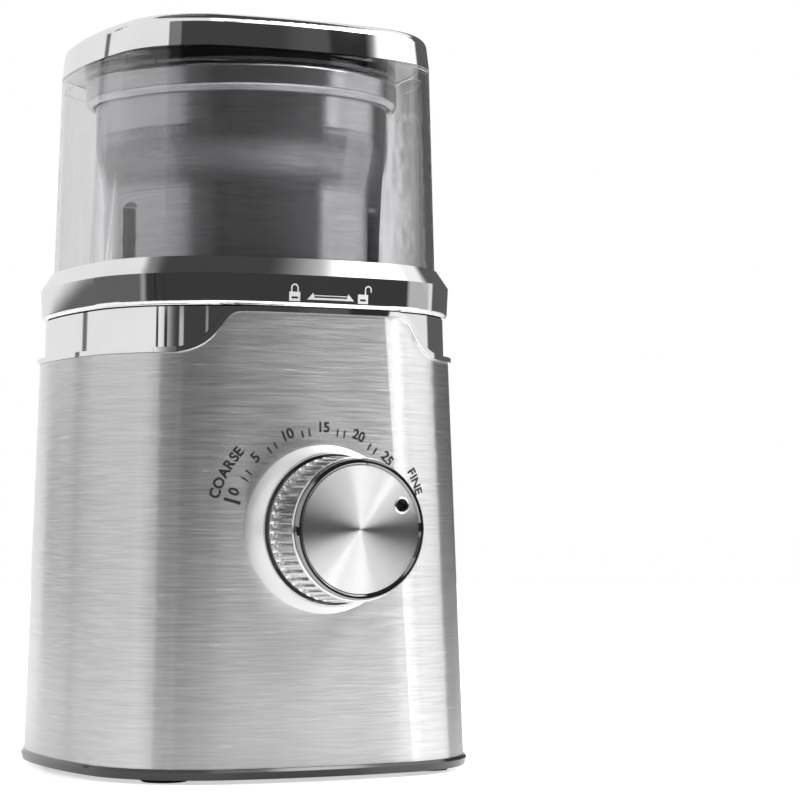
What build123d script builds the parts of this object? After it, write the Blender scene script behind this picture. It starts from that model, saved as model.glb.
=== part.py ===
"""Electric spice grinder: motor body, lift-out bowl with blade, twist-lock lid and grind dial.

Millimetres. The origin is the middle of the base on the table, +Z is up and the dial faces -Y.
"""
from build123d import *
from math import atan2, copysign, cos, degrees, radians, sin, sqrt, tan
import os

os.makedirs("parts", exist_ok=True)

# ---------------------------------------------------------------- driving dimensions
# Clearances
seat = 0.05               # pieces pressed or glued together
run = 0.06                # a shaft turning in its bush
slip = 0.3                # pieces that lift out, slide or turn past each other

# Body: a tapered steel wrap that stands on a black base ring
foot_stand = 1.2          # the rubber feet hold the base ring this far off the table
ring_height = 3.0
steel_height = 118.1      # from the base ring to the low stretch of the steel's top edge
steel_half = 61.7         # half-width of the steel at its foot, at the middle of a side
steel_half_top = steel_half - 3.2     # and at the low stretch of its top edge
ring_half = steel_half + 1.0          # half-width of the base ring
sheet = 0.8               # steel thickness
side_bow = 185.0          # radius of the gently bowed sides
foot_corner = 37.0        # radius of the upright corners, at the foot and at the top
top_corner = 41.0
frame_wall = 2.0          # moulded frame inside the steel

# Raised tab at the middle of the steel's front top edge, and the bead along that edge
tab_rise = 11.8
tab_foot_half = 36.2
tab_top_half = 27.5
tab_foot_round = 14.0
tab_top_round = 6.0
bead_height = 1.5
bead_proud = 0.9

# Top shroud with the round well that the bowl stands in
shroud_half = steel_half_top - 1.5
shroud_wall = 2.4
deck = 2.5                # thickness of the deck and of the well's floor
neck_height = 11.8        # the neck stands this far above the deck
well_depth = 6.1          # the well's floor lies this far below the deck
rib_width = 6.4           # upright ribs that key the bowl

# Lid
collar_half = shroud_half + 1.3
collar_corner = 40.0
collar_wall = 2.0
band_height = 9.2
bevel_height = 5.1
lid_bow = 165.0
lid_half_foot = collar_half - 3.8     # clear wall, at the top of the bevel
lid_half_head = lid_half_foot - 2.9   # clear wall, under the cap
lid_corner_foot = 37.0
lid_corner_head = 28.0
lid_wall = 2.4
wall_height = 61.4        # clear wall that shows between the bevel and the cap
cap_height = 9.9
cap_half_top = lid_half_head - 1.1
cap_round = 3.2
cap_wall = 1.8
ceiling = 2.0
lock_angle = 18.0         # the lid turns this far to unlock
lug_reach = 2.2
lug_height = 3.0
lug_arc = 12.0            # degrees of arc that a lug spans

# Bowl and blade
bowl_radius = 42.3        # outside of the lower wall
bowl_band_radius = bowl_radius + 2.4  # outside of the wall above the shoulder
rim_radius = bowl_band_radius + 2.8
well_radius = bowl_radius + 1.3
neck_radius = well_radius + 6.9
rim_drop = 6.3
bowl_sheet = 0.8
floor_round = 5.0
lid_to_rim = 3.2          # the rim lies this far below the lid's ceiling
shoulder_below_rim = 22.0 # middle of the sloping shoulder
shoulder_height = 6.0
key_depth = 2.4           # grooves pressed into the bowl's wall
key_width = 8.0
key_height = 30.0
base_height = 16.2        # black base under the steel floor
hub_radius = 24.4
blade_reach = bowl_radius - 10.7
blade_sheet = 1.5
blade_plate_half = 11.4   # from the middle to the first bend
blade_width = 11.4
blade_middle = 16.1       # widest place, at the rivet
blade_tip_width = 5.6
blade_drop = 3.0
blade_tip_length = 5.4
blade_rise = 8.0          # the blade's plate lies this far above the floor
shaft_radius = 3.0

# Dial
knob_z = 71.8
knob_foot_radius = 21.1
knob_front_radius = knob_foot_radius - 0.7
bezel_inner = knob_foot_radius + 0.5
bezel_radius = bezel_inner + 2.7
bezel_height = 6.6
knob_length = 22.6        # from the steel to the front ring
knob_ring_length = 1.6
face_radius = knob_front_radius - 2.4
rib_count = 48
rib_groove = 0.8
index_circle = face_radius - 3.5
index_angle = 28.0        # the index stands this far above three o'clock
index_radius = 1.3

# Motor
motor_width = 62.0
motor_depth = 52.0
stack_height = 35.0
stack_z = 62.0
bore_radius = 18.6
armature_radius = bore_radius - 0.6
motor_shaft_radius = 4.0
fan_radius = 26.0

# Inlet for the mains lead
inlet_z = 22.0
inlet_bore = 3.3

# ---------------------------------------------------------------- heights worked out from them
ring_z = foot_stand
steel_z = ring_z + ring_height
low_z = steel_z + steel_height
tab_z = low_z + tab_rise
deck_z = tab_z + bead_height
collar_z = deck_z + slip
bevel_z = collar_z + band_height
wall_z = bevel_z + bevel_height
cap_z = wall_z + wall_height
top_z = cap_z + cap_height
neck_z = deck_z + neck_height
well_z = deck_z - well_depth
rim_z = cap_z - lid_to_rim
floor_z = well_z + slip + base_height
shoulder_z = rim_z - shoulder_below_rim
blade_z = floor_z + blade_rise

UP = (Align.CENTER, Align.CENTER, Align.MIN)
DOWN = (Align.CENTER, Align.CENTER, Align.MAX)


# ---------------------------------------------------------------- shared shapes
def corner_centre(half, corner, bow=side_bow):
    """How far out along X, and along Y, a pillow's corner arcs have their centres."""
    shift = half - bow
    root = sqrt(4 * shift**2 - 8 * (shift**2 - (bow - corner) ** 2))
    return (2 * shift + root) / 4


def pillow(z, half, corner, bow=side_bow):
    """Face at height z: a square with bowed sides and round corners, all arcs tangent."""
    centre = corner_centre(half, corner, bow)
    turn = atan2(centre, centre - half + bow)
    end_x = bow * sin(turn)
    end_y = -half + bow * (1 - cos(turn))
    middle = centre + corner * sqrt(0.5)
    side = [(-end_x, end_y), (0, -half), (end_x, end_y)]
    nook = [(end_x, end_y), (middle, -middle), (-end_y, -end_x)]
    with BuildSketch(Plane.XY.offset(z)) as outline:
        with BuildLine():
            for quarter in range(4):
                for arc in (side, nook):
                    ThreePointArc(*[Vector(*point).rotate(Axis.Z, 90 * quarter) for point in arc])
        make_face()
    return outline.sketch


def half_at(z):
    """Half-width of the steel body at height z."""
    return steel_half + (steel_half_top - steel_half) * (z - steel_z) / steel_height


def corner_at(z):
    """Corner radius of the steel body at height z."""
    return foot_corner + (top_corner - foot_corner) * (z - steel_z) / steel_height


def body(low, high, inset=0.0, mode=Mode.ADD):
    """The body's tapered shape between two heights, drawn in by inset."""
    ends = [pillow(z, half_at(z) - inset, corner_at(z) - inset) for z in (low, high)]
    loft(ends, ruled=True, mode=mode)


def lid_half_at(z):
    """Half-width of the clear wall at height z."""
    return lid_half_foot + (lid_half_head - lid_half_foot) * (z - wall_z) / wall_height


def lid_corner_at(z):
    """Corner radius of the clear wall at height z."""
    return lid_corner_foot + (lid_corner_head - lid_corner_foot) * (z - wall_z) / wall_height


def lid(low, high, inset=0.0, mode=Mode.ADD):
    """The clear wall's tapered shape between two heights, drawn in by inset."""
    ends = [pillow(z, lid_half_at(z) - inset, lid_corner_at(z) - inset, lid_bow) for z in (low, high)]
    loft(ends, ruled=True, mode=mode)


def column(low, high, outer, inner=0.0, at=(0, 0), mode=Mode.ADD):
    """Upright round column between two heights, a tube where inner is given."""
    with BuildSketch(Plane.XY.offset(low)) as section:
        with Locations(at):
            Circle(outer)
            if inner:
                Circle(inner, mode=Mode.SUBTRACT)
    extrude(section.sketch, amount=high - low, mode=mode)


def block(size_x, size_y, low, high, at=(0, 0), mode=Mode.ADD):
    """Upright block between two heights."""
    with Locations((at[0], at[1], low)):
        Box(size_x, size_y, high - low, align=UP, mode=mode)


def turned(*profile, plane=Plane.XZ, axis=Axis.Z, mode=Mode.ADD):
    """Solid turned about an axis from (radius, height) points."""
    with BuildSketch(plane) as section:
        with BuildLine():
            Polyline(*profile, close=True)
        make_face()
    revolve(section.sketch, axis=axis, mode=mode)


def sector(low, high, inner, outer, start, sweep, mode=Mode.ADD):
    """Arc-shaped block between two radii, from the angle start over sweep degrees."""
    with BuildSketch(Plane.XY.offset(low)) as section:
        with BuildLine():
            near = CenterArc((0, 0), inner, start, sweep)
            far = CenterArc((0, 0), outer, start, sweep)
            Line(near @ 0, far @ 0)
            Line(near @ 1, far @ 1)
        make_face()
    extrude(section.sketch, amount=high - low, mode=mode)


def screws(places, top, length, radius, head_radius, head_height, upward=True):
    """Pan-head screws: the shank rises from the head, or hangs under it."""
    way = 1 if upward else -1
    align = UP if upward else DOWN
    for x, y in places:
        with Locations((x, y, top)):
            Cylinder(head_radius, head_height, align=align)
        with Locations((x, y, top + way * head_height)):
            Cylinder(radius, length, align=align)


def corners(half_x, half_y):
    """The four corners of a rectangle about the axis."""
    return [(half_x, half_y), (-half_x, half_y), (-half_x, -half_y), (half_x, -half_y)]


def finish(builder, name):
    """Label a finished piece and write it."""
    builder.part.label = name
    export_step(builder.part, f"parts/{name}.step")


# ---------------------------------------------------------------- base
foot_spot = corner_centre(steel_half, foot_corner) + 19.08
foot_places = corners(foot_spot, foot_spot)
foot_radius = 7.0
foot_sink = 1.6
floor_plate = 2.5         # thickness of the base tray's floor
screw_places = corners(26.0, steel_half - 14.7)
screw_radius = 1.7
head_radius = 3.2
head_height = 2.0
tray_rise = 9.0           # upstand that locates the frame
post_radius = 4.2

with BuildPart() as base_tray:
    ring_top = steel_z - seat
    ring_corner = foot_corner + ring_half - steel_half
    ring_ends = [
        pillow(ring_z, ring_half - 0.6, ring_corner - 0.6),
        pillow(ring_z + ring_height * 0.7, ring_half, ring_corner),
        pillow(ring_top, ring_half - 0.5, ring_corner - 0.5),
    ]
    loft(ring_ends, ruled=True)
    body(ring_z + floor_plate, steel_z + 1, sheet + frame_wall + 1.6, Mode.SUBTRACT)
    body(ring_z + floor_plate - 1, steel_z + tray_rise, sheet + frame_wall + 0.2)
    body(ring_z + floor_plate, steel_z + tray_rise + 1, sheet + frame_wall + 1.8, Mode.SUBTRACT)
    for place in foot_places:
        column(ring_z, ring_z + foot_sink + 1.5, foot_radius + 1.5, at=place)
        column(ring_z, ring_z + foot_sink, foot_radius + seat, at=place, mode=Mode.SUBTRACT)
    for place in screw_places:
        column(ring_z, ring_z + head_height + 2.5, head_radius + 2.0, at=place)
        column(ring_z, ring_z + head_height, head_radius + slip, at=place, mode=Mode.SUBTRACT)
        column(ring_z, steel_z + 8, screw_radius + slip, at=place, mode=Mode.SUBTRACT)
    vent_width = 2.6
    with BuildSketch(Plane.XY.offset(ring_z)):
        for row in range(-3, 4):
            with Locations((0, row * 7.0)):
                SlotOverall(2 * sqrt(27.0**2 - (row * 7.0) ** 2) + 4, vent_width)
    extrude(amount=floor_plate, mode=Mode.SUBTRACT)
finish(base_tray, "base_tray")

with BuildPart() as rubber_feet:
    for place in foot_places:
        column(0.4, ring_z + foot_sink - seat, foot_radius, at=place)
        column(0, 0.4, foot_radius - 0.6, at=place)
finish(rubber_feet, "rubber_feet")

with BuildPart() as base_screws:
    screws(screw_places, ring_z + 0.2, 12.0, screw_radius, head_radius, head_height - 0.2)
finish(base_screws, "base_screws")

# ---------------------------------------------------------------- steel wrap and its edge bead
tab_angle = atan2(tab_rise, tab_foot_half - tab_top_half)


def edge_face(lift, below=False):
    """Upright face above the steel's top edge, or below it, with the edge raised by lift."""
    out = lift * tan(tab_angle / 2)
    foot = tab_foot_half + out
    head = tab_top_half + out
    end = ring_half + 20
    far = steel_z - 10 if below else tab_z + 20
    path = [(-end, low_z), (-foot, low_z), (-head, tab_z), (head, tab_z), (foot, low_z), (end, low_z)]
    path = [(x, z + lift) for x, z in path]
    rounds = [tab_foot_round - lift, tab_top_round + lift, tab_top_round + lift, tab_foot_round - lift]
    with BuildSketch(Plane.XZ) as face:
        with BuildLine():
            FilletPolyline(*path, radius=rounds)
            Polyline(path[-1], (end, far), (-end, far), path[0])
        make_face()
    return face.sketch


def trim_front(lift, below=False):
    """Cut the front half along the steel's top edge, raised by lift."""
    extrude(edge_face(lift, below), amount=ring_half + 10, mode=Mode.SUBTRACT)


def trim_back(low, high):
    """Cut the rear half away between two heights."""
    with Locations((0, 0, low)):
        Box(4 * ring_half, 2 * ring_half, high - low, align=(Align.CENTER, Align.MIN, Align.MIN),
            mode=Mode.SUBTRACT)


knob_face_y = half_at(knob_z)
bush_radius = 4.8         # threaded bush of the dial's switch
inlet_y = half_at(inlet_z)
inlet_plane = Plane(origin=(0, inlet_y, inlet_z), x_dir=(-1, 0, 0), z_dir=(0, 1, 0))
dial_plane = Plane(origin=(0, -knob_face_y, knob_z), x_dir=(1, 0, 0), z_dir=(0, -1, 0))
dial_section = Plane(origin=dial_plane.origin, x_dir=(1, 0, 0), z_dir=(0, 0, -1))
dial_axis = Axis(dial_plane.origin, dial_plane.z_dir)
inlet_collar = inlet_bore + 2.2


def pierce(plane, radius, depth):
    """Round hole along a plane's normal, cut both ways from it."""
    with BuildSketch(plane) as hole:
        Circle(radius)
    extrude(hole.sketch, amount=depth, both=True, mode=Mode.SUBTRACT)


with BuildPart() as body_wrap:
    body(steel_z, tab_z + 3)
    body(steel_z - 1, tab_z + 4, sheet, Mode.SUBTRACT)
    trim_front(0)
    trim_back(low_z, tab_z + 5)
    pierce(dial_plane, bush_radius + 1.0, 8)
    pierce(inlet_plane, inlet_collar + seat, 8)
finish(body_wrap, "body_wrap")

with BuildPart() as trim_bead:
    body(low_z - 1, tab_z + 3, -bead_proud)
    body(low_z - 2, tab_z + 4, steel_half_top - shroud_half - slip, Mode.SUBTRACT)
    trim_front(seat, below=True)
    trim_front(bead_height)
    trim_back(low_z - 3, low_z + seat)
    trim_back(low_z + bead_height, tab_z + 5)
finish(trim_bead, "trim_bead")

# ---------------------------------------------------------------- moulded frame
frame_top = low_z - 5.0
frame_inset = sheet + seat
pad_half = 24.0           # flat pad moulded inside the front wall, behind the dial
pad_depth = 7.2           # from the steel's face to the pad's inner face
pad_back = knob_face_y - pad_depth
board_y = 44.0
board_sheet = 1.6
board_half = 32.0
board_low = 40.0
board_high = 92.0
board_holes = [(x, z) for x in (-27.0, 27.0) for z in (board_low + 5, board_high - 5)]
lug_centre = corner_centre(steel_half_top, top_corner)
lug_places = corners(lug_centre + 19.45, lug_centre + 27.95)
lug_foot = frame_top - 5.0
post_top = 24.0
pin_circle = shroud_half - 2.0
pin_angle = 144.0
pin_place = tuple(Vector(pin_circle, 0, 0).rotate(Axis.Z, pin_angle))[:2]
pin_radius = 2.0
shelf_top = frame_top - 5.0
shelf_sheet = 2.0
shelf_turn = 9.0          # degrees about the body's axis that the shelf spans where it meets the wall
shelf_low = shelf_top - shelf_sheet
switch_gap = 0.3          # the interlock switch's plunger stands this far below the pin
switch_deep = 6.4
switch_wide = 20.0
switch_tall = 10.0
plunger_rise = 1.2
plunger_top = shelf_low - 0.2 - switch_gap
switch_foot = plunger_top - plunger_rise - switch_tall


def rear_plane(x, y, z):
    """Upright plane that faces the back, for what stands on the rear wall."""
    return Plane(origin=(x, y, z), x_dir=(-1, 0, 0), z_dir=(0, 1, 0))


with BuildPart() as frame:
    body(steel_z + 0.6, frame_top, frame_inset)
    body(steel_z, frame_top + 1, frame_inset + frame_wall, Mode.SUBTRACT)
    with Locations((0, -pad_back, knob_z)):
        Box(2 * pad_half, pad_depth, 2 * pad_half, align=(Align.CENTER, Align.MAX, Align.CENTER))
    for place in screw_places:
        column(ring_z + head_height + 2.5 + seat, post_top, post_radius, at=place)
        web_y = place[1] + copysign(8.0, place[1])
        block(2.4, 16.0, steel_z + tray_rise + slip, post_top, at=(place[0], web_y))
    for x, z in board_holes:
        with BuildSketch(rear_plane(x, board_y + board_sheet + seat, z)):
            Circle(3.4)
    extrude(amount=half_at(0))
    for place in lug_places:
        column(lug_foot, frame_top, 5.0, at=place)
    column(shelf_low, shelf_top, pin_radius + 4.6, at=pin_place)
    shelf_start = pin_angle - shelf_turn / 2
    sector(shelf_low, shelf_top, pin_circle, pin_circle + 20, shelf_start, shelf_turn)
    sector(switch_foot, shelf_low, pin_circle + switch_deep / 2 + slip, pin_circle + 20, shelf_start,
           shelf_turn)
    body(steel_z + 0.6, frame_top, frame_inset, Mode.INTERSECT)
    for place in screw_places:
        column(0, post_top - 2, screw_radius + seat, at=place, mode=Mode.SUBTRACT)
    for x, z in board_holes:
        pierce(rear_plane(x, board_y, z), 1.25, 9)
    for place in lug_places:
        column(lug_foot - 1, frame_top + 1, screw_radius + slip, at=place, mode=Mode.SUBTRACT)
    column(shelf_top - 5, shelf_top + 1, pin_radius + slip, at=pin_place, mode=Mode.SUBTRACT)
    pierce(dial_plane, bush_radius + seat, 14)
    pierce(inlet_plane, inlet_collar + seat, 12)
finish(frame, "frame")

# ---------------------------------------------------------------- top shroud and well
key_angles = (-167.0, -47.0, 73.0)
shroud_foot = low_z - 4.0
shroud_corner = top_corner - 1.5
boss_places = corners(33.0, 17.0)
boss_radius = 4.6
boss_drop = 9.0           # the motor hangs from bosses under the well's floor
boss_foot = well_z - deck - boss_drop
boss_reach = Vector(*boss_places[0]).length + boss_radius
well_block = max(well_radius + shroud_wall, boss_reach + 1.0)
driver_hole = 9.0
guide_drop = 7.9          # tube under the deck that guides the interlock pin
guide_foot = deck_z - deck - guide_drop
lug_inner = neck_radius + slip - lug_reach
groove_radius = lug_inner - slip
lug_rise = 3.1            # the lugs' height above the collar's foot
lug_z = collar_z + lug_rise
lug_angles = (45.0, 135.0, 225.0, 315.0)
groove_spare = 1.5        # degrees of free play at each end of a groove


def key_plane(angle, radius):
    """Upright plane that faces outwards, at a radius and an angle about the axis."""
    out = Vector(radius, 0, 0).rotate(Axis.Z, angle)
    return Plane(origin=out, x_dir=Vector(0, 0, 1).cross(out), z_dir=out)


def key(angle, inner, outer, width, low, high, mode=Mode.ADD):
    """Upright bar with a round top, between two radii: a rib, or the groove it slides in."""
    with BuildSketch(key_plane(angle, inner)) as section:
        with Locations((0, low)):
            Rectangle(width, high - width / 2 - low, align=(Align.CENTER, Align.MIN))
        with Locations((0, high - width / 2)):
            Circle(width / 2)
    extrude(section.sketch, amount=outer - inner, mode=mode)


with BuildPart() as top_shroud:
    loft([pillow(shroud_foot, shroud_half + 0.2, shroud_corner),
          pillow(deck_z, shroud_half - 0.2, shroud_corner)], ruled=True)
    loft([pillow(shroud_foot - 1, shroud_half - shroud_wall, shroud_corner - shroud_wall),
          pillow(deck_z - deck, shroud_half - shroud_wall, shroud_corner - shroud_wall)],
         ruled=True, mode=Mode.SUBTRACT)
    column(well_z - deck, deck_z, well_block)
    column(deck_z - deck, neck_z, neck_radius)
    column(well_z, neck_z + 1, well_radius, mode=Mode.SUBTRACT)
    for angle in key_angles:
        key(angle, bowl_radius - key_depth + slip, well_radius + 1, rib_width, well_z - 1, neck_z - 1)
    for place in boss_places:
        column(boss_foot, well_z - deck, boss_radius, at=place)
        column(boss_foot - 1, well_z - 1, screw_radius, at=place, mode=Mode.SUBTRACT)
    for place in lug_places:
        column(frame_top + seat, deck_z - deck, 4.6, at=place)
        column(frame_top, deck_z - 1.5, screw_radius, at=place, mode=Mode.SUBTRACT)
    column(guide_foot, deck_z - deck, pin_radius + 2.2, at=pin_place)
    column(guide_foot - 1, deck_z + 1, pin_radius + slip, at=pin_place, mode=Mode.SUBTRACT)
    column(well_z - 1, well_z + 0.8, driver_hole + 2)
    column(well_z - deck - 1, well_z + 2, driver_hole, mode=Mode.SUBTRACT)
    for angle in lug_angles:
        start = angle - lug_arc / 2 - groove_spare
        entry = lug_arc + 2 * groove_spare
        sector(lug_z - slip, lug_z + lug_height + slip, groove_radius, neck_radius + 1, start,
               entry + lock_angle, Mode.SUBTRACT)
        sector(lug_z - slip, neck_z + 1, groove_radius, neck_radius + 1, start + lock_angle, entry,
               Mode.SUBTRACT)
    loft([pillow(shroud_foot, shroud_half + 0.2, shroud_corner),
          pillow(neck_z, shroud_half - 0.2, shroud_corner)], ruled=True, mode=Mode.INTERSECT)
finish(top_shroud, "top_shroud")

with BuildPart() as shroud_screws:
    screws(lug_places, lug_foot - head_height, deck_z - 3 - lug_foot, screw_radius - seat, head_radius,
           head_height)
finish(shroud_screws, "shroud_screws")

with BuildPart() as shaft_seal:
    turned((motor_shaft_radius + run, well_z - deck + 0.3), (driver_hole - seat, well_z - deck + 0.3),
           (driver_hole - seat, well_z - 0.3), (driver_hole - 2, well_z - 0.3),
           (driver_hole - 3.2, well_z - 1.4), (motor_shaft_radius + run, well_z - 1.4))
finish(shaft_seal, "shaft_seal")

# ---------------------------------------------------------------- motor
plate = 3.0
top_plate_z = boss_foot - 5.0 - plate
bottom_plate_z = 34.0
pillar_radius = 3.2
pillar_places = corners(motor_width / 2 - 3.4, motor_depth / 2 - 3.4)
bolt_radius = 1.8
stack_top = stack_z + stack_height
bearing_radius = 9.5
bearing_height = 6.0
coil_x = (17.3, 24.5)
coil_y = (14.2, 19.8)
coil_turn = 7.0

with BuildPart() as motor_stator:
    block(motor_width, motor_depth, stack_z, stack_top)
    fillet(motor_stator.edges().filter_by(Axis.Z), 6)
    column(stack_z - 1, stack_top + 1, bore_radius, mode=Mode.SUBTRACT)
    for x, y in corners((coil_x[0] + coil_x[1]) / 2, (coil_y[0] + coil_y[1]) / 2):
        window = (coil_x[1] - coil_x[0] + 0.8, coil_y[1] - coil_y[0] + 0.8)
        block(*window, stack_z - 1, stack_top + 1, at=(x, y), mode=Mode.SUBTRACT)
    for place in pillar_places:
        column(stack_z - 1, stack_top + 1, bolt_radius + 0.2, at=place, mode=Mode.SUBTRACT)
finish(motor_stator, "motor_stator")

with BuildPart() as field_coils:
    for side in (-1, 1):
        middle = (side * (coil_x[0] + coil_x[1]) / 2, 0)
        block(coil_x[1] - coil_x[0], 2 * coil_y[1], stack_z - coil_turn, stack_top + coil_turn, middle)
    fillet(field_coils.edges().filter_by(Axis.X), 5)
    for side in (-1, 1):
        middle = (side * (coil_x[0] + coil_x[1]) / 2, 0)
        block(20, 2 * coil_y[0], stack_z - 0.4, stack_top + 0.4, middle, Mode.SUBTRACT)
finish(field_coils, "field_coils")


def motor_plate(low, reach_x, reach_y):
    """Motor end plate with a window on each side of its bearing bridge."""
    block(2 * reach_x, 2 * reach_y, low, low + plate)
    for side in (-1, 1):
        block(30, reach_y - 16, low - 1, low + plate + 1, (0, side * (reach_y / 2 + 5)), Mode.SUBTRACT)


with BuildPart() as top_bracket:
    motor_plate(top_plate_z, 39.0, 27.0)
    for place in pillar_places:
        column(stack_top + seat, top_plate_z, pillar_radius, at=place)
    column(top_plate_z - 3, top_plate_z + plate + 3, bearing_radius + 3)
    column(top_plate_z - 4, top_plate_z + plate + 4, motor_shaft_radius + 1.5, mode=Mode.SUBTRACT)
    column(top_plate_z + plate + 3 - bearing_height, top_plate_z + plate + 4, bearing_radius + seat,
           mode=Mode.SUBTRACT)
    for place in pillar_places:
        column(stack_top - 1, top_plate_z + plate + 1, bolt_radius + 0.2, at=place, mode=Mode.SUBTRACT)
    for place in boss_places:
        column(top_plate_z - 1, top_plate_z + plate + 1, screw_radius + slip, at=place,
               mode=Mode.SUBTRACT)
finish(top_bracket, "top_bracket")

brush_z = 46.0
brush_width = 5.6
brush_height = 6.4
holder_wall = 1.0
holder_inner = 14.0
holder_outer = 29.0
commutator_radius = 11.0

with BuildPart() as bottom_bracket:
    motor_plate(bottom_plate_z, 31.0, 26.0)
    for place in pillar_places:
        column(bottom_plate_z + plate, stack_z - seat, pillar_radius, at=place)
    column(bottom_plate_z - 1.5, bottom_plate_z + plate + 1.5, bearing_radius + 3)
    column(bottom_plate_z - 2, bottom_plate_z + plate + 2, motor_shaft_radius + 1.5,
           mode=Mode.SUBTRACT)
    column(bottom_plate_z - 2, bottom_plate_z - 1.5 + bearing_height - 1, bearing_radius + seat,
           mode=Mode.SUBTRACT)
    for side in (-1, 1):
        block(holder_outer - holder_inner - 2, brush_width, bottom_plate_z + plate,
              brush_z - brush_height / 2 - holder_wall - seat,
              (side * (holder_inner + holder_outer) / 2, 0))
    for place in pillar_places:
        column(bottom_plate_z - 1, stack_z + 1, bolt_radius + 0.2, at=place, mode=Mode.SUBTRACT)
finish(bottom_bracket, "bottom_bracket")

with BuildPart() as motor_bearings:
    for low in (top_plate_z + plate + 3 - bearing_height + seat, bottom_plate_z - 1.5 - 1 + seat):
        column(low, low + bearing_height - 2 * seat, bearing_radius, motor_shaft_radius + run)
finish(motor_bearings, "motor_bearings")

with BuildPart() as brush_holders:
    for side in (-1, 1):
        middle = (side * (holder_inner + holder_outer) / 2, 0)
        length = holder_outer - holder_inner
        low = brush_z - brush_height / 2
        block(length, brush_width + 2 * holder_wall, low - holder_wall, low + brush_height + holder_wall,
              middle)
        hollow = (middle[0] - side * holder_wall, 0)
        block(length, brush_width + 0.2, low - 0.1, low + brush_height + 0.1, hollow, Mode.SUBTRACT)
finish(brush_holders, "brush_holders")

with BuildPart() as carbon_brushes:
    for side in (-1, 1):
        middle = (side * (commutator_radius + slip + 7), 0)
        low = brush_z - brush_height / 2
        block(14, brush_width, low, low + brush_height, middle)
finish(carbon_brushes, "carbon_brushes")

with BuildPart() as motor_bolts:
    screws(pillar_places, bottom_plate_z - 2.4, top_plate_z + plate - bottom_plate_z - 0.5, bolt_radius,
           3.4, 2.4 - seat)
finish(motor_bolts, "motor_bolts")

with BuildPart() as rubber_mounts:
    for place in boss_places:
        column(top_plate_z + plate + seat, boss_foot - seat, 5.2, screw_radius + slip, at=place)
finish(rubber_mounts, "rubber_mounts")

with BuildPart() as mount_screws:
    screws(boss_places, top_plate_z - head_height - seat, well_z - 2 - top_plate_z, screw_radius - seat,
           head_radius, head_height)
finish(mount_screws, "mount_screws")

# ---------------------------------------------------------------- rotor
driver_foot = well_z + 1.4
driver_top = well_z + 8.2
shaft_top = driver_top - 1.0
core_radius = 6.4
tooth_reach = 9.2
tooth_width = 3.0
tooth_count = 6
fan_z = 21.0
fan_height = 9.0

with BuildPart() as motor_shaft:
    column(fan_z - 2, shaft_top, motor_shaft_radius)
    chamfer(motor_shaft.edges().filter_by(GeomType.CIRCLE), 0.5)
finish(motor_shaft, "motor_shaft")

with BuildPart() as armature_core:
    column(stack_z, stack_top, armature_radius, motor_shaft_radius + seat)
    with BuildSketch(Plane.XY.offset(stack_z)):
        with PolarLocations(armature_radius - 3.0, 12):
            Rectangle(8.0, 1.4)
        with PolarLocations(armature_radius - 6.0, 12):
            Circle(1.9)
    extrude(amount=stack_height, mode=Mode.SUBTRACT)
finish(armature_core, "armature_core")

with BuildPart() as armature_windings:
    for low in (stack_z - 8.0, stack_top + seat):
        turned((motor_shaft_radius + 1.2, low), (14.0, low), (16.0, low + 2), (16.0, low + 6),
               (14.0, low + 8.0 - seat), (motor_shaft_radius + 1.2, low + 8.0 - seat))
finish(armature_windings, "armature_windings")

with BuildPart() as commutator:
    column(brush_z - 5, brush_z + 5.5, commutator_radius, motor_shaft_radius + seat)
    column(brush_z + 5.5, stack_z - 8.5, 7.0, motor_shaft_radius + seat)
    column(brush_z + 4.5, brush_z + 5.5, commutator_radius + 1.4, motor_shaft_radius + seat)
    with BuildSketch(Plane.XY.offset(brush_z - 5)):
        with PolarLocations(commutator_radius, 24):
            Rectangle(1.6, 0.5)
    extrude(amount=9.0, mode=Mode.SUBTRACT)
finish(commutator, "commutator")

with BuildPart() as cooling_fan:
    column(fan_z, fan_z + fan_height, 8.0, motor_shaft_radius + seat)
    column(fan_z + fan_height - 1.4, fan_z + fan_height, fan_radius, motor_shaft_radius + seat)
    with BuildSketch(Plane.XY.offset(fan_z + 0.5)):
        with PolarLocations((fan_radius + 7) / 2, 11):
            Rectangle(fan_radius - 8.5, 1.3, rotation=24)
    extrude(amount=fan_height - 1)
finish(cooling_fan, "cooling_fan")


def star(radius, reach, width, count):
    """Face of a splined coupling: a round core with straight teeth."""
    with BuildSketch() as face:
        Circle(radius)
        with PolarLocations((radius - 1 + reach) / 2, count):
            Rectangle(reach - radius + 1, width)
    return face.sketch


with BuildPart() as drive_coupling:
    with Locations((0, 0, driver_foot)):
        add(extrude(star(core_radius, tooth_reach, tooth_width, tooth_count), driver_top - driver_foot,
                    mode=Mode.PRIVATE))
    column(driver_foot - 1, shaft_top + seat, motor_shaft_radius + seat, mode=Mode.SUBTRACT)
finish(drive_coupling, "drive_coupling")

# ---------------------------------------------------------------- bowl
base_foot = well_z + slip
socket_radius = 9.8
socket_outer = 12.4
socket_foot = base_foot + 0.8
socket_top = driver_top + 0.8
socket_web = 3.0
cavity_radius = socket_outer + 0.9
bush_outer = 5.5
bush_foot = socket_top + socket_web + slip
bush_top = blade_z - 1.8
spigot_radius = 20.8
bowl_screw_places = [tuple(Vector(17.3, 0, 0).rotate(Axis.Z, a))[:2] for a in (30, 150, 270)]
bowl_screw_radius = 1.4

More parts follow.
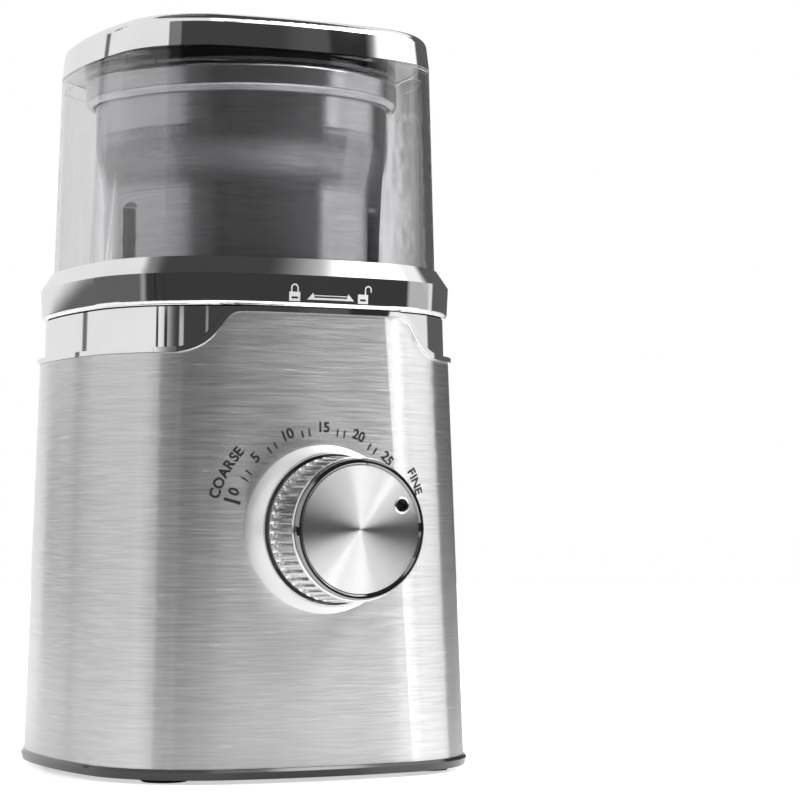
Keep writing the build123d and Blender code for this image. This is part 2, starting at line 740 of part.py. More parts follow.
with BuildPart() as grinding_bowl:
    half_sheet = bowl_sheet / 2
    wall_r = bowl_radius - half_sheet
    band_r = bowl_band_radius - half_sheet
    rim_r = rim_radius - half_sheet
    with BuildSketch(Plane.XZ):
        with BuildLine():
            FilletPolyline(
                (spigot_radius + seat, floor_z + half_sheet),
                (wall_r, floor_z + half_sheet),
                (wall_r, shoulder_z - shoulder_height / 2),
                (band_r, shoulder_z + shoulder_height / 2),
                (band_r, rim_z - half_sheet),
                (rim_r, rim_z - half_sheet),
                (rim_r, rim_z - rim_drop),
                (band_r + 1.4, rim_z - rim_drop - 1.5),
                radius=[floor_round, 3, 3, 0.9, 0.9, 0.6])
        trace(line_width=bowl_sheet)
    revolve(axis=Axis.Z)
    for angle in key_angles:
        key(angle, wall_r - key_depth - half_sheet, wall_r, key_width + 2 * bowl_sheet,
            floor_z, floor_z + key_height + bowl_sheet)
        key(angle, wall_r + half_sheet - key_depth, bowl_radius + 1, key_width,
            floor_z - 1, floor_z + key_height, Mode.SUBTRACT)
finish(grinding_bowl, "grinding_bowl")

with BuildPart() as bowl_base:
    turned((cavity_radius, base_foot), (bowl_radius - 1.6, base_foot), (bowl_radius - 0.6, base_foot + 1),
           (bowl_radius - 0.6, floor_z - seat), (bush_outer + seat, floor_z - seat),
           (bush_outer + seat, bush_foot - 0.1), (cavity_radius, bush_foot - 0.1))
    column(base_foot - 1, base_foot + base_height - 4, bowl_radius - 4.8, 22.0, mode=Mode.SUBTRACT)
    for place in bowl_screw_places:
        column(base_foot - 1, base_foot + 6, 2.8, at=place, mode=Mode.SUBTRACT)
        column(base_foot - 1, floor_z + 1, bowl_screw_radius + slip, at=place, mode=Mode.SUBTRACT)
    for angle in key_angles:
        key(angle, bowl_radius - key_depth - 0.6, bowl_radius + 1, key_width, base_foot - 1, floor_z + 9,
            Mode.SUBTRACT)
finish(bowl_base, "bowl_base")

with BuildPart() as bowl_hub:
    hub_foot = floor_z + bowl_sheet + seat
    turned((bush_outer + seat, floor_z), (spigot_radius, floor_z), (spigot_radius, hub_foot),
           (hub_radius, hub_foot), (hub_radius, hub_foot + 0.9), (hub_radius - 0.8, hub_foot + 1.6),
           (12.0, hub_foot + 2.0), (11.6, hub_foot + 3.0), (10.2, hub_foot + 3.0),
           (9.8, hub_foot + 2.2), (9.6, hub_foot + 4.4), (8.6, bush_top - 0.4),
           (bush_outer + seat, bush_top - 0.4))
    for place in bowl_screw_places:
        column(floor_z - 1, hub_foot + 1.2, bowl_screw_radius, at=place, mode=Mode.SUBTRACT)
finish(bowl_hub, "bowl_hub")

with BuildPart() as bowl_screws:
    screws(bowl_screw_places, base_foot + 4, hub_foot + 0.8 - base_foot - 6, bowl_screw_radius - seat,
           2.5, 2.0 - seat)
finish(bowl_screws, "bowl_screws")

with BuildPart() as bowl_bush:
    column(bush_foot, bush_top, bush_outer, shaft_radius + run)
finish(bowl_bush, "bowl_bush")

# ---------------------------------------------------------------- blade set
with BuildPart() as driven_coupling:
    column(socket_foot, socket_top + socket_web, socket_outer)
    column(socket_foot - 1, socket_top, socket_radius, mode=Mode.SUBTRACT)
    with BuildSketch(Plane.XY.offset(socket_foot)):
        with PolarLocations((core_radius + 0.7 + socket_radius + 1) / 2, tooth_count,
                            start_angle=180 / tooth_count):
            Rectangle(socket_radius + 1 - core_radius - 0.7, tooth_width)
    extrude(amount=socket_top - socket_foot)
    column(socket_foot - 1, socket_top + socket_web + 1, shaft_radius + seat, mode=Mode.SUBTRACT)
finish(driven_coupling, "driven_coupling")

blade_top = blade_z + blade_sheet
with BuildPart() as blade_shaft:
    column(socket_top + 0.2, blade_z - seat, shaft_radius)
    column(blade_z - seat - 0.1, blade_top + 1.0, shaft_radius - 1)
    column(blade_z - 1.2, blade_z - seat, shaft_radius + 1.8)
finish(blade_shaft, "blade_shaft")

with BuildPart() as blade_rivet:
    with BuildSketch(Plane.XZ):
        with BuildLine():
            Line((shaft_radius - 1 + seat, blade_top + seat), (2.8, blade_top + seat))
            Line((2.8, blade_top + seat), (2.8, blade_top + 0.5))
            ThreePointArc((2.8, blade_top + 0.5), (2.1, blade_top + 1.5), (0.9, blade_top + 2.0))
            Line((0.9, blade_top + 2.0), (0, blade_top + 2.0))
            Line((0, blade_top + 2.0), (0, blade_top + 1.0 + seat))
            Line((0, blade_top + 1.0 + seat), (shaft_radius - 1 + seat, blade_top + 1.0 + seat))
            Line((shaft_radius - 1 + seat, blade_top + 1.0 + seat),
                 (shaft_radius - 1 + seat, blade_top + seat))
        make_face()
    revolve(axis=Axis.Z)
finish(blade_rivet, "blade_rivet")

bend_run = 3.0            # length of the sloping step between the plate and an arm
arm_end = blade_reach - 2.0
arm_z = blade_z - blade_drop
with BuildPart() as blade:
    half = blade_sheet / 2
    side_path = [(-blade_reach, arm_z + half + blade_tip_length),
                 (-arm_end + 0.6, arm_z + half),
                 (-blade_plate_half - bend_run, arm_z + half),
                 (-blade_plate_half, blade_z + half),
                 (blade_plate_half, blade_z + half),
                 (blade_plate_half + bend_run, arm_z + half),
                 (arm_end - 0.6, arm_z + half),
                 (blade_reach, arm_z + half + blade_tip_length)]
    with BuildSketch(Plane.XZ):
        with BuildLine():
            FilletPolyline(*side_path, radius=[1.6, 1.6, 1.6, 1.6, 1.6, 1.6])
        trace(line_width=blade_sheet)
    extrude(amount=blade_middle, both=True)
    knee = blade_plate_half + 4.0
    root = blade_width / 2
    with BuildSketch(Plane.XY.offset(arm_z - 5)) as plan:
        with BuildLine():
            Polyline((0, blade_middle / 2), (blade_plate_half, root), (knee, root),
                     (knee + 7.5, 1.0), (blade_reach + 2, 1.0), (blade_reach + 2, 1.0 - blade_tip_width),
                     (blade_plate_half, -root - 1.2), (0, -blade_middle / 2),
                     (-blade_plate_half, -root), (-knee, -root), (-knee - 7.5, -1.0),
                     (-blade_reach - 2, -1.0), (-blade_reach - 2, blade_tip_width - 1.0),
                     (-blade_plate_half, root + 1.2), close=True)
        make_face()
    extrude(plan.sketch, amount=20, mode=Mode.INTERSECT)
    column(arm_z - 5, blade_top + 5, shaft_radius - 1 + seat, mode=Mode.SUBTRACT)
finish(blade, "blade")

# ---------------------------------------------------------------- lid
plate_z = rim_z + slip
seal_height = 1.3
plate_sheet = 1.4
plate_low = plate_z + seal_height + seat
plate_top = plate_low + plate_sheet
ceiling_z = plate_top + slip
ceiling_top = ceiling_z + ceiling
ring_inner = neck_radius + slip + 0.1
lock_height = 7.1         # height of the lid's lock ring above the collar's foot
lock_top = collar_z + lock_height
pivot_radius = 9.0
clip_radius = 12.5
clip_sheet = 1.5
skirt_radius = rim_radius - 0.1
lid_fix = cap_wall + 0.4

with BuildPart() as lid_seal:
    column(plate_z, plate_z + seal_height, skirt_radius - 1.2 - seat, bowl_band_radius - 1.4)
finish(lid_seal, "lid_seal")

with BuildPart() as lid_plate:
    column(plate_low, plate_top, skirt_radius)
    column(plate_z, plate_low, skirt_radius, skirt_radius - 1.2)
    column(plate_top, ceiling_top + slip, pivot_radius)
    for angle in lug_angles:
        sector(plate_top - 2.6, plate_top, skirt_radius - 0.5, skirt_radius + 0.6, angle - 20, 9.0)
    column(plate_top, ceiling_top + slip + 1, 1.2, mode=Mode.SUBTRACT)
finish(lid_plate, "lid_plate")

with BuildPart() as plate_clip:
    column(ceiling_top + slip + seat, ceiling_top + slip + seat + clip_sheet, clip_radius, 1.6)
finish(plate_clip, "plate_clip")

with BuildPart() as clip_screw:
    screws([(0, 0)], ceiling_top + slip + clip_sheet + 2 * seat + 1.4, clip_sheet + ceiling, 1.15, 2.8, 1.4,
           upward=False)
finish(clip_screw, "clip_screw")

with BuildPart() as lid_shell:
    lid(lock_top + seat, cap_z)
    lid(cap_z - 1, ceiling_top, lid_fix)
    lid(lock_top, cap_z - 4, lid_wall, Mode.SUBTRACT)
    lid(cap_z - 5, ceiling_z, lid_wall + 0.8, Mode.SUBTRACT)
    column(ceiling_z - 1, ceiling_top + 1, pivot_radius + slip, mode=Mode.SUBTRACT)
finish(lid_shell, "lid_shell")

with BuildPart() as lid_cap:
    cap_corner = lid_corner_head - 1.0
    loft([pillow(cap_z + seat, lid_half_head + 0.1, lid_corner_head, lid_bow),
          pillow(top_z, cap_half_top, cap_corner, lid_bow)], ruled=True)
    fillet(lid_cap.faces().sort_by(Axis.Z)[-1].edges(), cap_round)
    loft([pillow(cap_z, lid_half_head + 0.1 - cap_wall, lid_corner_head - cap_wall, lid_bow),
          pillow(top_z - cap_wall, cap_half_top - cap_wall, cap_corner - cap_wall, lid_bow)],
         ruled=True, mode=Mode.SUBTRACT)
finish(lid_cap, "lid_cap")

with BuildPart() as lid_collar:
    loft([pillow(collar_z, collar_half, collar_corner), pillow(bevel_z, collar_half, collar_corner)],
         ruled=True)
    fillet(lid_collar.faces().sort_by(Axis.Z)[0].edges(), 1.4)
    loft([pillow(bevel_z, collar_half, collar_corner),
          pillow(wall_z, lid_half_foot + 0.7, lid_corner_foot + 0.7, lid_bow)], ruled=True)
    loft([pillow(collar_z - 1, collar_half - collar_wall, collar_corner - collar_wall),
          pillow(lock_top + seat, collar_half - collar_wall, collar_corner - collar_wall)],
         ruled=True, mode=Mode.SUBTRACT)
    lid(lock_top - 1, wall_z + 1, -seat, Mode.SUBTRACT)
finish(lid_collar, "lid_collar")

ramp_start = 4.0          # degrees between the pin and the start of the ramp
pin_travel = 2.5
ring_foot = collar_z + slip
with BuildPart() as lid_lock_ring:
    ring_inset = collar_wall + seat
    ring_ends = [pillow(z, collar_half - ring_inset, collar_corner - ring_inset)
                 for z in (ring_foot, lock_top)]
    loft(ring_ends, ruled=True)
    column(ring_foot - 1, lock_top + 1, ring_inner, mode=Mode.SUBTRACT)
    for angle in lug_angles:
        sector(lug_z, lug_z + lug_height, lug_inner, ring_inner + 1, angle - lug_arc / 2, lug_arc)
    # ramp in the underside, over which the interlock pin rises as the lid turns open
    ramp_high = pin_circle * tan(radians(ramp_start))
    ramp_low = -pin_circle * tan(radians(lock_angle + ramp_start))
    ramp_plane = Plane(origin=(0, 0, ring_foot),
                       x_dir=Vector(0, 1, 0).rotate(Axis.Z, pin_angle),
                       z_dir=Vector(1, 0, 0).rotate(Axis.Z, pin_angle))
    with BuildSketch(ramp_plane):
        with BuildLine():
            Polyline((ramp_high, 0), (ramp_high, -1), (ramp_low, -1),
                     (ramp_low, pin_travel * (1 + 2 * ramp_start / lock_angle)), close=True)
        make_face()
    extrude(amount=pin_circle + 3.6, mode=Mode.SUBTRACT)
finish(lid_lock_ring, "lid_lock_ring")

# ---------------------------------------------------------------- lid interlock
pin_top = deck_z + slip
flange_z = guide_foot - slip - pin_travel - 1.4
spring_wire = 0.35

with BuildPart() as interlock_pin:
    column(shelf_low - 0.2, pin_top, pin_radius, at=pin_place)
    column(flange_z, flange_z + 1.4, pin_radius + 1.7, at=pin_place)
    fillet(interlock_pin.faces().sort_by(Axis.Z)[-1].edges(), 0.6)
finish(interlock_pin, "interlock_pin")

spring_low = shelf_top + seat + spring_wire
spring_high = flange_z - seat - spring_wire
with BuildPart() as interlock_spring:
    with BuildLine() as coil:
        Helix(pitch=(spring_high - spring_low) / 5, height=spring_high - spring_low,
              radius=pin_radius + 1.0, center=(*pin_place, spring_low))
    with BuildSketch(Plane(coil.line @ 0, z_dir=coil.line % 0)):
        Circle(spring_wire)
    sweep(is_frenet=True)
finish(interlock_spring, "interlock_spring")

with BuildPart() as interlock_switch:
    with BuildSketch(Plane(origin=(*pin_place, switch_foot),
                           x_dir=Vector(1, 0, 0).rotate(Axis.Z, pin_angle), z_dir=(0, 0, 1))):
        Rectangle(switch_deep, switch_wide)
    extrude(amount=switch_tall)
    column(plunger_top - plunger_rise - 0.2, plunger_top, 1.4, at=pin_place)
finish(interlock_switch, "interlock_switch")

# ---------------------------------------------------------------- dial
dial_y = pad_back - seat
switch_half = 21.0
switch_depth = 15.5


def on_dial(offset):
    """The dial's plane moved outwards from the steel."""
    return dial_plane.offset(offset)


with BuildPart() as dial_switch:
    with BuildSketch(on_dial(dial_y - knob_face_y)):
        RectangleRounded(2 * switch_half, 2 * switch_half - 2, 3)
    extrude(amount=-switch_depth)
    with BuildSketch(on_dial(dial_y - knob_face_y)):
        Circle(bush_radius)
    extrude(amount=knob_face_y - dial_y + 4.0)
    with BuildSketch(on_dial(dial_y - knob_face_y - 8)):
        Circle(shaft_radius + run)
    extrude(amount=30, mode=Mode.SUBTRACT)
finish(dial_switch, "dial_switch")

with BuildPart() as dial_nut:
    with BuildSketch(on_dial(0.4)):
        RegularPolygon(8.0, 6)
        Circle(bush_radius + seat, mode=Mode.SUBTRACT)
    extrude(amount=2.4)
finish(dial_nut, "dial_nut")

with BuildPart() as dial_shaft:
    with BuildSketch(on_dial(dial_y - knob_face_y - 7)):
        Circle(shaft_radius)
    extrude(amount=knob_face_y - dial_y + 7 + 15.0)
finish(dial_shaft, "dial_shaft")

with BuildPart() as dial_bezel:
    with BuildSketch(dial_section):
        with BuildLine():
            Line((bezel_inner, -3), (bezel_radius, -3))
            Line((bezel_radius, -3), (bezel_radius, 0.4))
            ThreePointArc((bezel_radius, 0.4), (bezel_radius - 0.75, bezel_height * 0.6),
                          (bezel_inner + 0.7, bezel_height))
            Line((bezel_inner + 0.7, bezel_height), (bezel_inner, bezel_height - 0.5))
            Line((bezel_inner, bezel_height - 0.5), (bezel_inner, -3))
        make_face()
    revolve(axis=dial_axis)
    body(knob_z - 2 * bezel_radius, knob_z + 2 * bezel_radius, -seat, Mode.SUBTRACT)
finish(dial_bezel, "dial_bezel")

knob_foot = 1.0
ring_foot_out = knob_length + seat
face_out = ring_foot_out + 0.2
index_at = Vector(index_circle, 0, 0).rotate(Axis.Z, index_angle)

with BuildPart(dial_plane) as knob_body:
    turned((knob_foot_radius - 2.2, knob_foot), (knob_foot_radius, knob_foot),
           (knob_front_radius, knob_length - 0.8), (knob_front_radius - 0.8, knob_length),
           (0, knob_length), (0, knob_length - 2), (6.5, knob_length - 2),
           (knob_front_radius - 2.4, knob_length - 2), plane=dial_section, axis=dial_axis)
    with BuildSketch(on_dial(5.0)):
        Circle(6.5)
    extrude(amount=knob_length - 6.0)
    with BuildSketch(on_dial(4.0)):
        Circle(shaft_radius + seat)
    extrude(amount=15.2 - 4.0, mode=Mode.SUBTRACT)
    lean = degrees(atan2(knob_foot_radius - knob_front_radius, knob_length))
    with PolarLocations((knob_foot_radius + knob_front_radius) / 2 + 0.15, rib_count):
        Cylinder(rib_groove, knob_length - 5.6, rotation=(0, -lean, 0), align=UP, mode=Mode.SUBTRACT)
finish(knob_body, "knob_body")

with BuildPart() as knob_ring:
    turned((face_radius + seat, ring_foot_out), (knob_front_radius - 0.9, ring_foot_out),
           (knob_front_radius - 0.5, ring_foot_out + 0.4), (knob_front_radius - 0.6, ring_foot_out + 1.0),
           (face_radius + 1.3, ring_foot_out + knob_ring_length),
           (face_radius + 0.7, ring_foot_out + knob_ring_length),
           (face_radius + seat, ring_foot_out + 0.9), plane=dial_section, axis=dial_axis)
finish(knob_ring, "knob_ring")

with BuildPart() as knob_face:
    with BuildSketch(on_dial(face_out - 0.1)):
        Circle(face_radius)
        with Locations(tuple(index_at)[:2]):
            Circle(index_radius + 0.5 + seat, mode=Mode.SUBTRACT)
    extrude(amount=1.0)
finish(knob_face, "knob_face")

with BuildPart() as knob_index:
    with BuildSketch(on_dial(face_out - 0.1)):
        with Locations(tuple(index_at)[:2]):
            Circle(index_radius + 0.5)
    extrude(amount=1.2)
    with BuildSketch(on_dial(face_out + 0.3)):
        with Locations(tuple(index_at)[:2]):
            Circle(index_radius)
    extrude(amount=2, mode=Mode.SUBTRACT)
finish(knob_index, "knob_index")

# ---------------------------------------------------------------- control board
board_middle = (board_low + board_high) / 2
board_face = board_y - seat


def on_board(x, z, deep, width, height, mode=Mode.ADD):
    """Box that stands on the board's inner face."""
    with Locations((x, board_face, z)):
        Box(width, deep, height, align=(Align.CENTER, Align.MAX, Align.CENTER), mode=mode)


with BuildPart() as control_board:
    with Locations((0, board_y, board_middle)):
        Box(2 * board_half, board_sheet, board_high - board_low,
            align=(Align.CENTER, Align.MIN, Align.CENTER))
    for x, z in board_holes:
        pierce(rear_plane(x, board_y, z), 1.6, 4)
finish(control_board, "control_board")

with BuildPart() as board_parts:
    on_board(-14, 76, 15.0, 19.0, 15.5)
    on_board(8, 78, 12.0, 17.0, 11.0)
    on_board(-15, 52, 4.5, 16.0, 16.0)
    on_board(26, 66, 9.0, 8.0, 20.0)
    for x, z, radius, deep in ((6, 56, 5.0, 12.0), (18, 50, 4.0, 10.0), (16, 64, 2.6, 7.0)):
        with BuildSketch(Plane(origin=(x, board_face, z), x_dir=(1, 0, 0), z_dir=(0, -1, 0))):
            Circle(radius)
        extrude(amount=deep)
finish(board_parts, "board_parts")

with BuildPart() as board_screws:
    for x, z in board_holes:
        with BuildSketch(Plane(origin=(x, board_y - seat, z), x_dir=(1, 0, 0), z_dir=(0, -1, 0))):
            Circle(2.6)
        extrude(amount=1.8)
        with BuildSketch(Plane(origin=(x, board_y - seat, z), x_dir=(1, 0, 0), z_dir=(0, -1, 0))):
            Circle(1.2)
        extrude(amount=-8.0)
finish(board_screws, "board_screws")

# ---------------------------------------------------------------- inlet for the mains lead
boot_length = 6.0         # the boot stands this far out of the steel
boot_start = 1.0          # its close bore starts this far outside the steel
boot_radius = inlet_bore + 1.7
relief_radius = inlet_bore + 0.9

with BuildPart() as cord_grommet:
    lip = inlet_collar + 1.8
    inner_face = -(sheet + frame_wall + 2 * seat)
    inlet_section = Plane(origin=(0, inlet_y, inlet_z), x_dir=(1, 0, 0), z_dir=(0, 0, 1))
    turned((relief_radius, inner_face - 1.8), (lip, inner_face - 1.8), (lip, inner_face - 0.3),
           (inlet_collar, inner_face - 0.3), (inlet_collar, 0.3), (lip, 0.3), (lip, 1.0), (lip - 0.8, 1.8),
           (boot_radius + 0.6, 2.2), (boot_radius, boot_length), (inlet_bore, boot_length),
           (inlet_bore, boot_start), (relief_radius, boot_start - 0.6),
           plane=inlet_section, axis=Axis(inlet_section.origin, (0, 1, 0)))
finish(cord_grommet, "cord_grommet")
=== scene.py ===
"""Looks of the electric spice grinder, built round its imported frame.

Metres, in the part's own frame: the middle of the base at the origin, +Z up, the dial faces -Y.
"""
import bisect
import bmesh
import bpy
import math
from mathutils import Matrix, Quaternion, Vector
from mathutils.bvhtree import BVHTree


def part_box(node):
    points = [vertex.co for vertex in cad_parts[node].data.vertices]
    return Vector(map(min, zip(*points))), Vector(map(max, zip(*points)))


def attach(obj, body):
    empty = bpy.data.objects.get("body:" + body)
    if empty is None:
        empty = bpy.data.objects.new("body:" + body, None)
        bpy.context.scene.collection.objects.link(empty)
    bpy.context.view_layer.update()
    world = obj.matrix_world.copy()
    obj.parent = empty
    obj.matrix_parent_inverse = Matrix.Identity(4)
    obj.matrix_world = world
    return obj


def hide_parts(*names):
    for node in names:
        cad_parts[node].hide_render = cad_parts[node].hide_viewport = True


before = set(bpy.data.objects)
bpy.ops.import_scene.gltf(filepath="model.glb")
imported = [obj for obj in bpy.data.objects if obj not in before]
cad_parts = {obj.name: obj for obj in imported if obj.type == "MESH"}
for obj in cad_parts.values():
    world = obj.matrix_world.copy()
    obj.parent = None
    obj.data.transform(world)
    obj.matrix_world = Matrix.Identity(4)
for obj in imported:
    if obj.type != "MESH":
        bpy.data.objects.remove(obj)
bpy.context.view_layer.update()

# ---------------------------------------------------------------- camera
# The grinder is seen from the front left, level with its dial and looking slightly up, through a
# long lens that keeps its upright edges almost parallel.
eye = Vector((-0.3240, -0.7495, 0.0733))
heading = math.radians(26.787)
tilt = math.radians(2.690)
lean = math.radians(0.060)
look = Vector((math.cos(tilt) * math.sin(heading), math.cos(tilt) * math.cos(heading), math.sin(tilt)))
camera = bpy.data.objects.new("camera", bpy.data.cameras.new("camera"))
camera.location = eye
camera.rotation_mode = "QUATERNION"
camera.rotation_quaternion = look.to_track_quat("-Z", "Y") @ Quaternion((0, 0, 1), lean)
camera.data.lens = 118.97
camera.data.sensor_width = 36.0
camera.data.clip_start = 0.05
bpy.context.scene.collection.objects.link(camera)
bpy.context.scene.camera = camera


# ---------------------------------------------------------------- studio
# What bright metal mirrors: a white table and wall, a dark room behind the camera, a tall soft box
# at the right with dark flags beside it, lamps and a lit strip of ceiling, and a dark ceiling above.
def add(tree, kind, inputs=(), **settings):
    """New node with its settings, fed by (socket, value or output) pairs."""
    node = tree.nodes.new(kind)
    for name, value in settings.items():
        setattr(node, name, value)
    for socket, value in inputs:
        if isinstance(value, bpy.types.NodeSocket):
            tree.links.new(value, node.inputs[socket])
        else:
            node.inputs[socket].default_value = value
    return node


def math_node(tree, operation, *values):
    """Output of a Math node."""
    return add(tree, "ShaderNodeMath", enumerate(values), operation=operation).outputs[0]


def ramp(tree, value, low, high, start=0.0, end=1.0):
    """Smooth step of a value between two limits."""
    node = add(tree, "ShaderNodeMapRange", interpolation_type="SMOOTHSTEP",
               inputs=(("Value", value), ("From Min", low), ("From Max", high),
                       ("To Min", start), ("To Max", end)))
    return node.outputs["Result"]


world = bpy.data.worlds.new("studio")
world.use_nodes = True
bpy.context.scene.world = world
studio = world.node_tree
studio.nodes.clear()
toward = add(studio, "ShaderNodeTexCoord").outputs["Generated"]
east, north, height = add(studio, "ShaderNodeSeparateXYZ", inputs=((0, toward),)).outputs
flat_length = math_node(studio, "SQRT", math_node(studio, "ADD", math_node(studio, "MULTIPLY", east, east),
                                                  math_node(studio, "MULTIPLY", north, north)))


def sine(degrees):
    """Sine of an angle in degrees."""
    return math.sin(math.radians(degrees))


def cosine(degrees):
    """Cosine of an angle in degrees."""
    return math.cos(math.radians(degrees))


def card(behind, brightness, bearing, half_width, edge, low, high, fade):
    """Upright card in front of what is behind it, with its bearing, heights and soft edges in degrees."""
    along = math_node(studio, "ADD", math_node(studio, "MULTIPLY", east, cosine(bearing)),
                      math_node(studio, "MULTIPLY", north, sine(bearing)))
    facing = math_node(studio, "DIVIDE", along, flat_length)
    mask = ramp(studio, facing, cosine(half_width + edge), cosine(max(half_width - edge, 0.0)))
    if low > -90:
        mask = math_node(studio, "MULTIPLY", mask, ramp(studio, height, sine(low - fade), sine(low + fade)))
    if high < 90:
        mask = math_node(studio, "MULTIPLY", mask,
                         ramp(studio, height, sine(high - fade), sine(high + fade), 1.0, 0.0))
    return add(studio, "ShaderNodeMix", inputs=(("Factor", mask), ("A", behind), ("B", brightness)),
               data_type="FLOAT").outputs["Result"]


wall_brightness = 0.85
ceiling_brightness = 0.06
ceiling_low, ceiling_high = 54, 63      # degrees, over which the wall fades into the ceiling
cards = (                     # brightness, bearing from +X, half width, edge, low, high, fade
    (0.160, 115, 45, 15, 56, 90, 3),          # paler ceiling, left
    (0.055, 256, 49, 8, -90, 34, 2),          # dark room behind the camera
    (0.090, 298, 6, 4, -90, 31, 2),           # its lighter far wall
    (0.030, 307, 6, 1, -90, 24, 2),           # flag beside the soft box
    (1.600, 338, 23.5, 4.5, 8, 56, 1.5),      # soft box
    (1.000, 20, 20, 8, 34, 56, 3),            # its lit ceiling edge
    (0.110, 33, 27, 2, -90, 34, 3),           # flag at the right
    (1.900, 300, 42, 8, 34, 56, 2),           # lit ceiling over the camera
    (7.500, 307, 9, 6, 34, 56, 2),            # its brightest part
    (0.130, 143, 42, 4, -90, 3.1, 0.4),       # table's far edge, left
    (0.045, 266, 80, 4, -90, 3.1, 0.4),       # table's near edge, dark
    (0.500, 346, 14, 3, -90, 2.6, 0.8),       # foot of the soft box
    (0.160, 118, 0.9, 0.5, 3.3, 25, 0.3),     # gap in the white wall
    (0.200, 208, 8, 1, 8.5, 34, 0.5),         # wall beyond its end
    (0.030, 197, 1.0, 0.4, -90, 8, 0.5),      # stands and gaps there
    (0.040, 205, 1.4, 0.4, -90, 8, 0.5),
    (0.500, 219, 1.8, 0.6, 2.6, 8, 0.5),
    (0.300, 241, 1.0, 0.4, 2.6, 8, 0.5),
    (6.000, 314, 5.0, 2.0, 28, 34, 1),        # lamp over the camera
    (14.00, 323, 4.0, 3.0, 22, 28, 1),        # lamp beside it
)
light = ramp(studio, height, sine(ceiling_low), sine(ceiling_high), wall_brightness, ceiling_brightness)
for measures in cards:
    light = card(light, *measures)
seen = add(studio, "ShaderNodeLightPath").outputs["Is Camera Ray"]
shown = add(studio, "ShaderNodeMix", inputs=(("Factor", seen), ("A", light), ("B", 1.0)), data_type="FLOAT")
sky = add(studio, "ShaderNodeBackground",
          inputs=(("Color", (1, 1, 1, 1)), ("Strength", shown.outputs["Result"])))
add(studio, "ShaderNodeOutputWorld", inputs=(("Surface", sky.outputs[0]),))
bpy.context.scene.view_settings.view_transform = "Standard"


def lamp(name, kind, energy, place=(0, 0, 0), **settings):
    """Light that shines straight down, unseen by the camera and in mirrors."""
    holder = bpy.data.objects.new(name, bpy.data.lights.new(name, kind))
    holder.location = place
    holder.data.energy = energy
    for setting, value in settings.items():
        setattr(holder.data, setting, value)
    holder.visible_camera = False
    holder.visible_glossy = False
    bpy.context.scene.collection.objects.link(holder)


lamp("ceiling_light", "SUN", energy=1.2, angle=math.radians(50))
lamp("table_light", "SPOT", energy=64.0, place=(0.15, -0.36, 1.2), spot_size=math.radians(40),
     spot_blend=1.0, shadow_soft_size=0.1)


def finish_of(name, colour, roughness, metallic=0.0, **sockets):
    """New material with one Principled shader; plain values are set on the shader's own sockets."""
    material = bpy.data.materials.new(name)
    material.use_nodes = True
    shader = material.node_tree.nodes["Principled BSDF"]
    shader.inputs["Base Color"].default_value = (*colour, 1)
    shader.inputs["Roughness"].default_value = roughness
    shader.inputs["Metallic"].default_value = metallic
    for socket, value in sockets.items():
        shader.inputs[socket.replace("_", " ")].default_value = value
    return material, material.node_tree, shader


floor_radius = 1.5
floor_front = 0.50            # from the grinder's axis to the table's near edge
floor_sides = 64
overexposure = 0.6            # light that the table adds where the camera sees it
floor_middle = Vector((math.sin(heading), math.cos(heading), 0)) * (floor_radius - floor_front)
turns = [2 * math.pi * step / floor_sides for step in range(floor_sides)]
floor_mesh = bpy.data.meshes.new("floor")
floor_mesh.from_pydata([(floor_middle.x + floor_radius * math.cos(turn),
                         floor_middle.y + floor_radius * math.sin(turn), 0) for turn in turns],
                       [], [range(floor_sides)])
floor = bpy.data.objects.new("floor", floor_mesh)
bpy.context.scene.collection.objects.link(floor)
table_top, tree, shader = finish_of("white_table", (0.93, 0.93, 0.93), roughness=0.16,
                                    Specular_IOR_Level=0.25, Emission_Color=(1, 1, 1, 1))
seen = add(tree, "ShaderNodeLightPath").outputs["Is Camera Ray"]
tree.links.new(math_node(tree, "MULTIPLY", seen, overexposure), shader.inputs["Emission Strength"])
floor_mesh.materials.append(table_top)


# ---------------------------------------------------------------- feet and inlet
# Four moulded rubber feet sit in pockets under the base, and a rubber grommet lines the hole for
# the mains lead at the back. The shaft's seal and the motor's mounts are of the same matt rubber.
mm = 0.001


def shader_group(name, inputs, outputs):
    """New shader node group with number inputs and number outputs."""
    tree = bpy.data.node_groups.new(name, "ShaderNodeTree")
    for label, value in inputs:
        socket = tree.interface.new_socket(label, in_out="INPUT", socket_type="NodeSocketFloat")
        socket.default_value = value
    for label in outputs:
        tree.interface.new_socket(label, in_out="OUTPUT", socket_type="NodeSocketFloat")
    return tree, tree.nodes.new("NodeGroupInput").outputs, tree.nodes.new("NodeGroupOutput").inputs


# mottle: soft cloudy variation and fine grain, each from 0 to 1
mottle, given, taken = shader_group("mottle", (("Clouds", 40.0), ("Grain", 900.0)), ("Cloud", "Speck"))
place = add(mottle, "ShaderNodeTexCoord").outputs["Object"]
clouds = add(mottle, "ShaderNodeTexNoise", inputs=(("Vector", place), ("Scale", given["Clouds"]),
                                                   ("Detail", 3.0)))
specks = add(mottle, "ShaderNodeTexNoise", inputs=(("Vector", place), ("Scale", given["Grain"]),
                                                   ("Detail", 2.0)))
mottle.links.new(clouds.outputs["Fac"], taken["Cloud"])
mottle.links.new(specks.outputs["Fac"], taken["Speck"])
cloud_range = (0.3, 0.7)      # stretch of the cloudy noise that leads from one colour to the other
speck_range = (0.25, 0.75)    # stretch of the fine noise that leads over the roughness


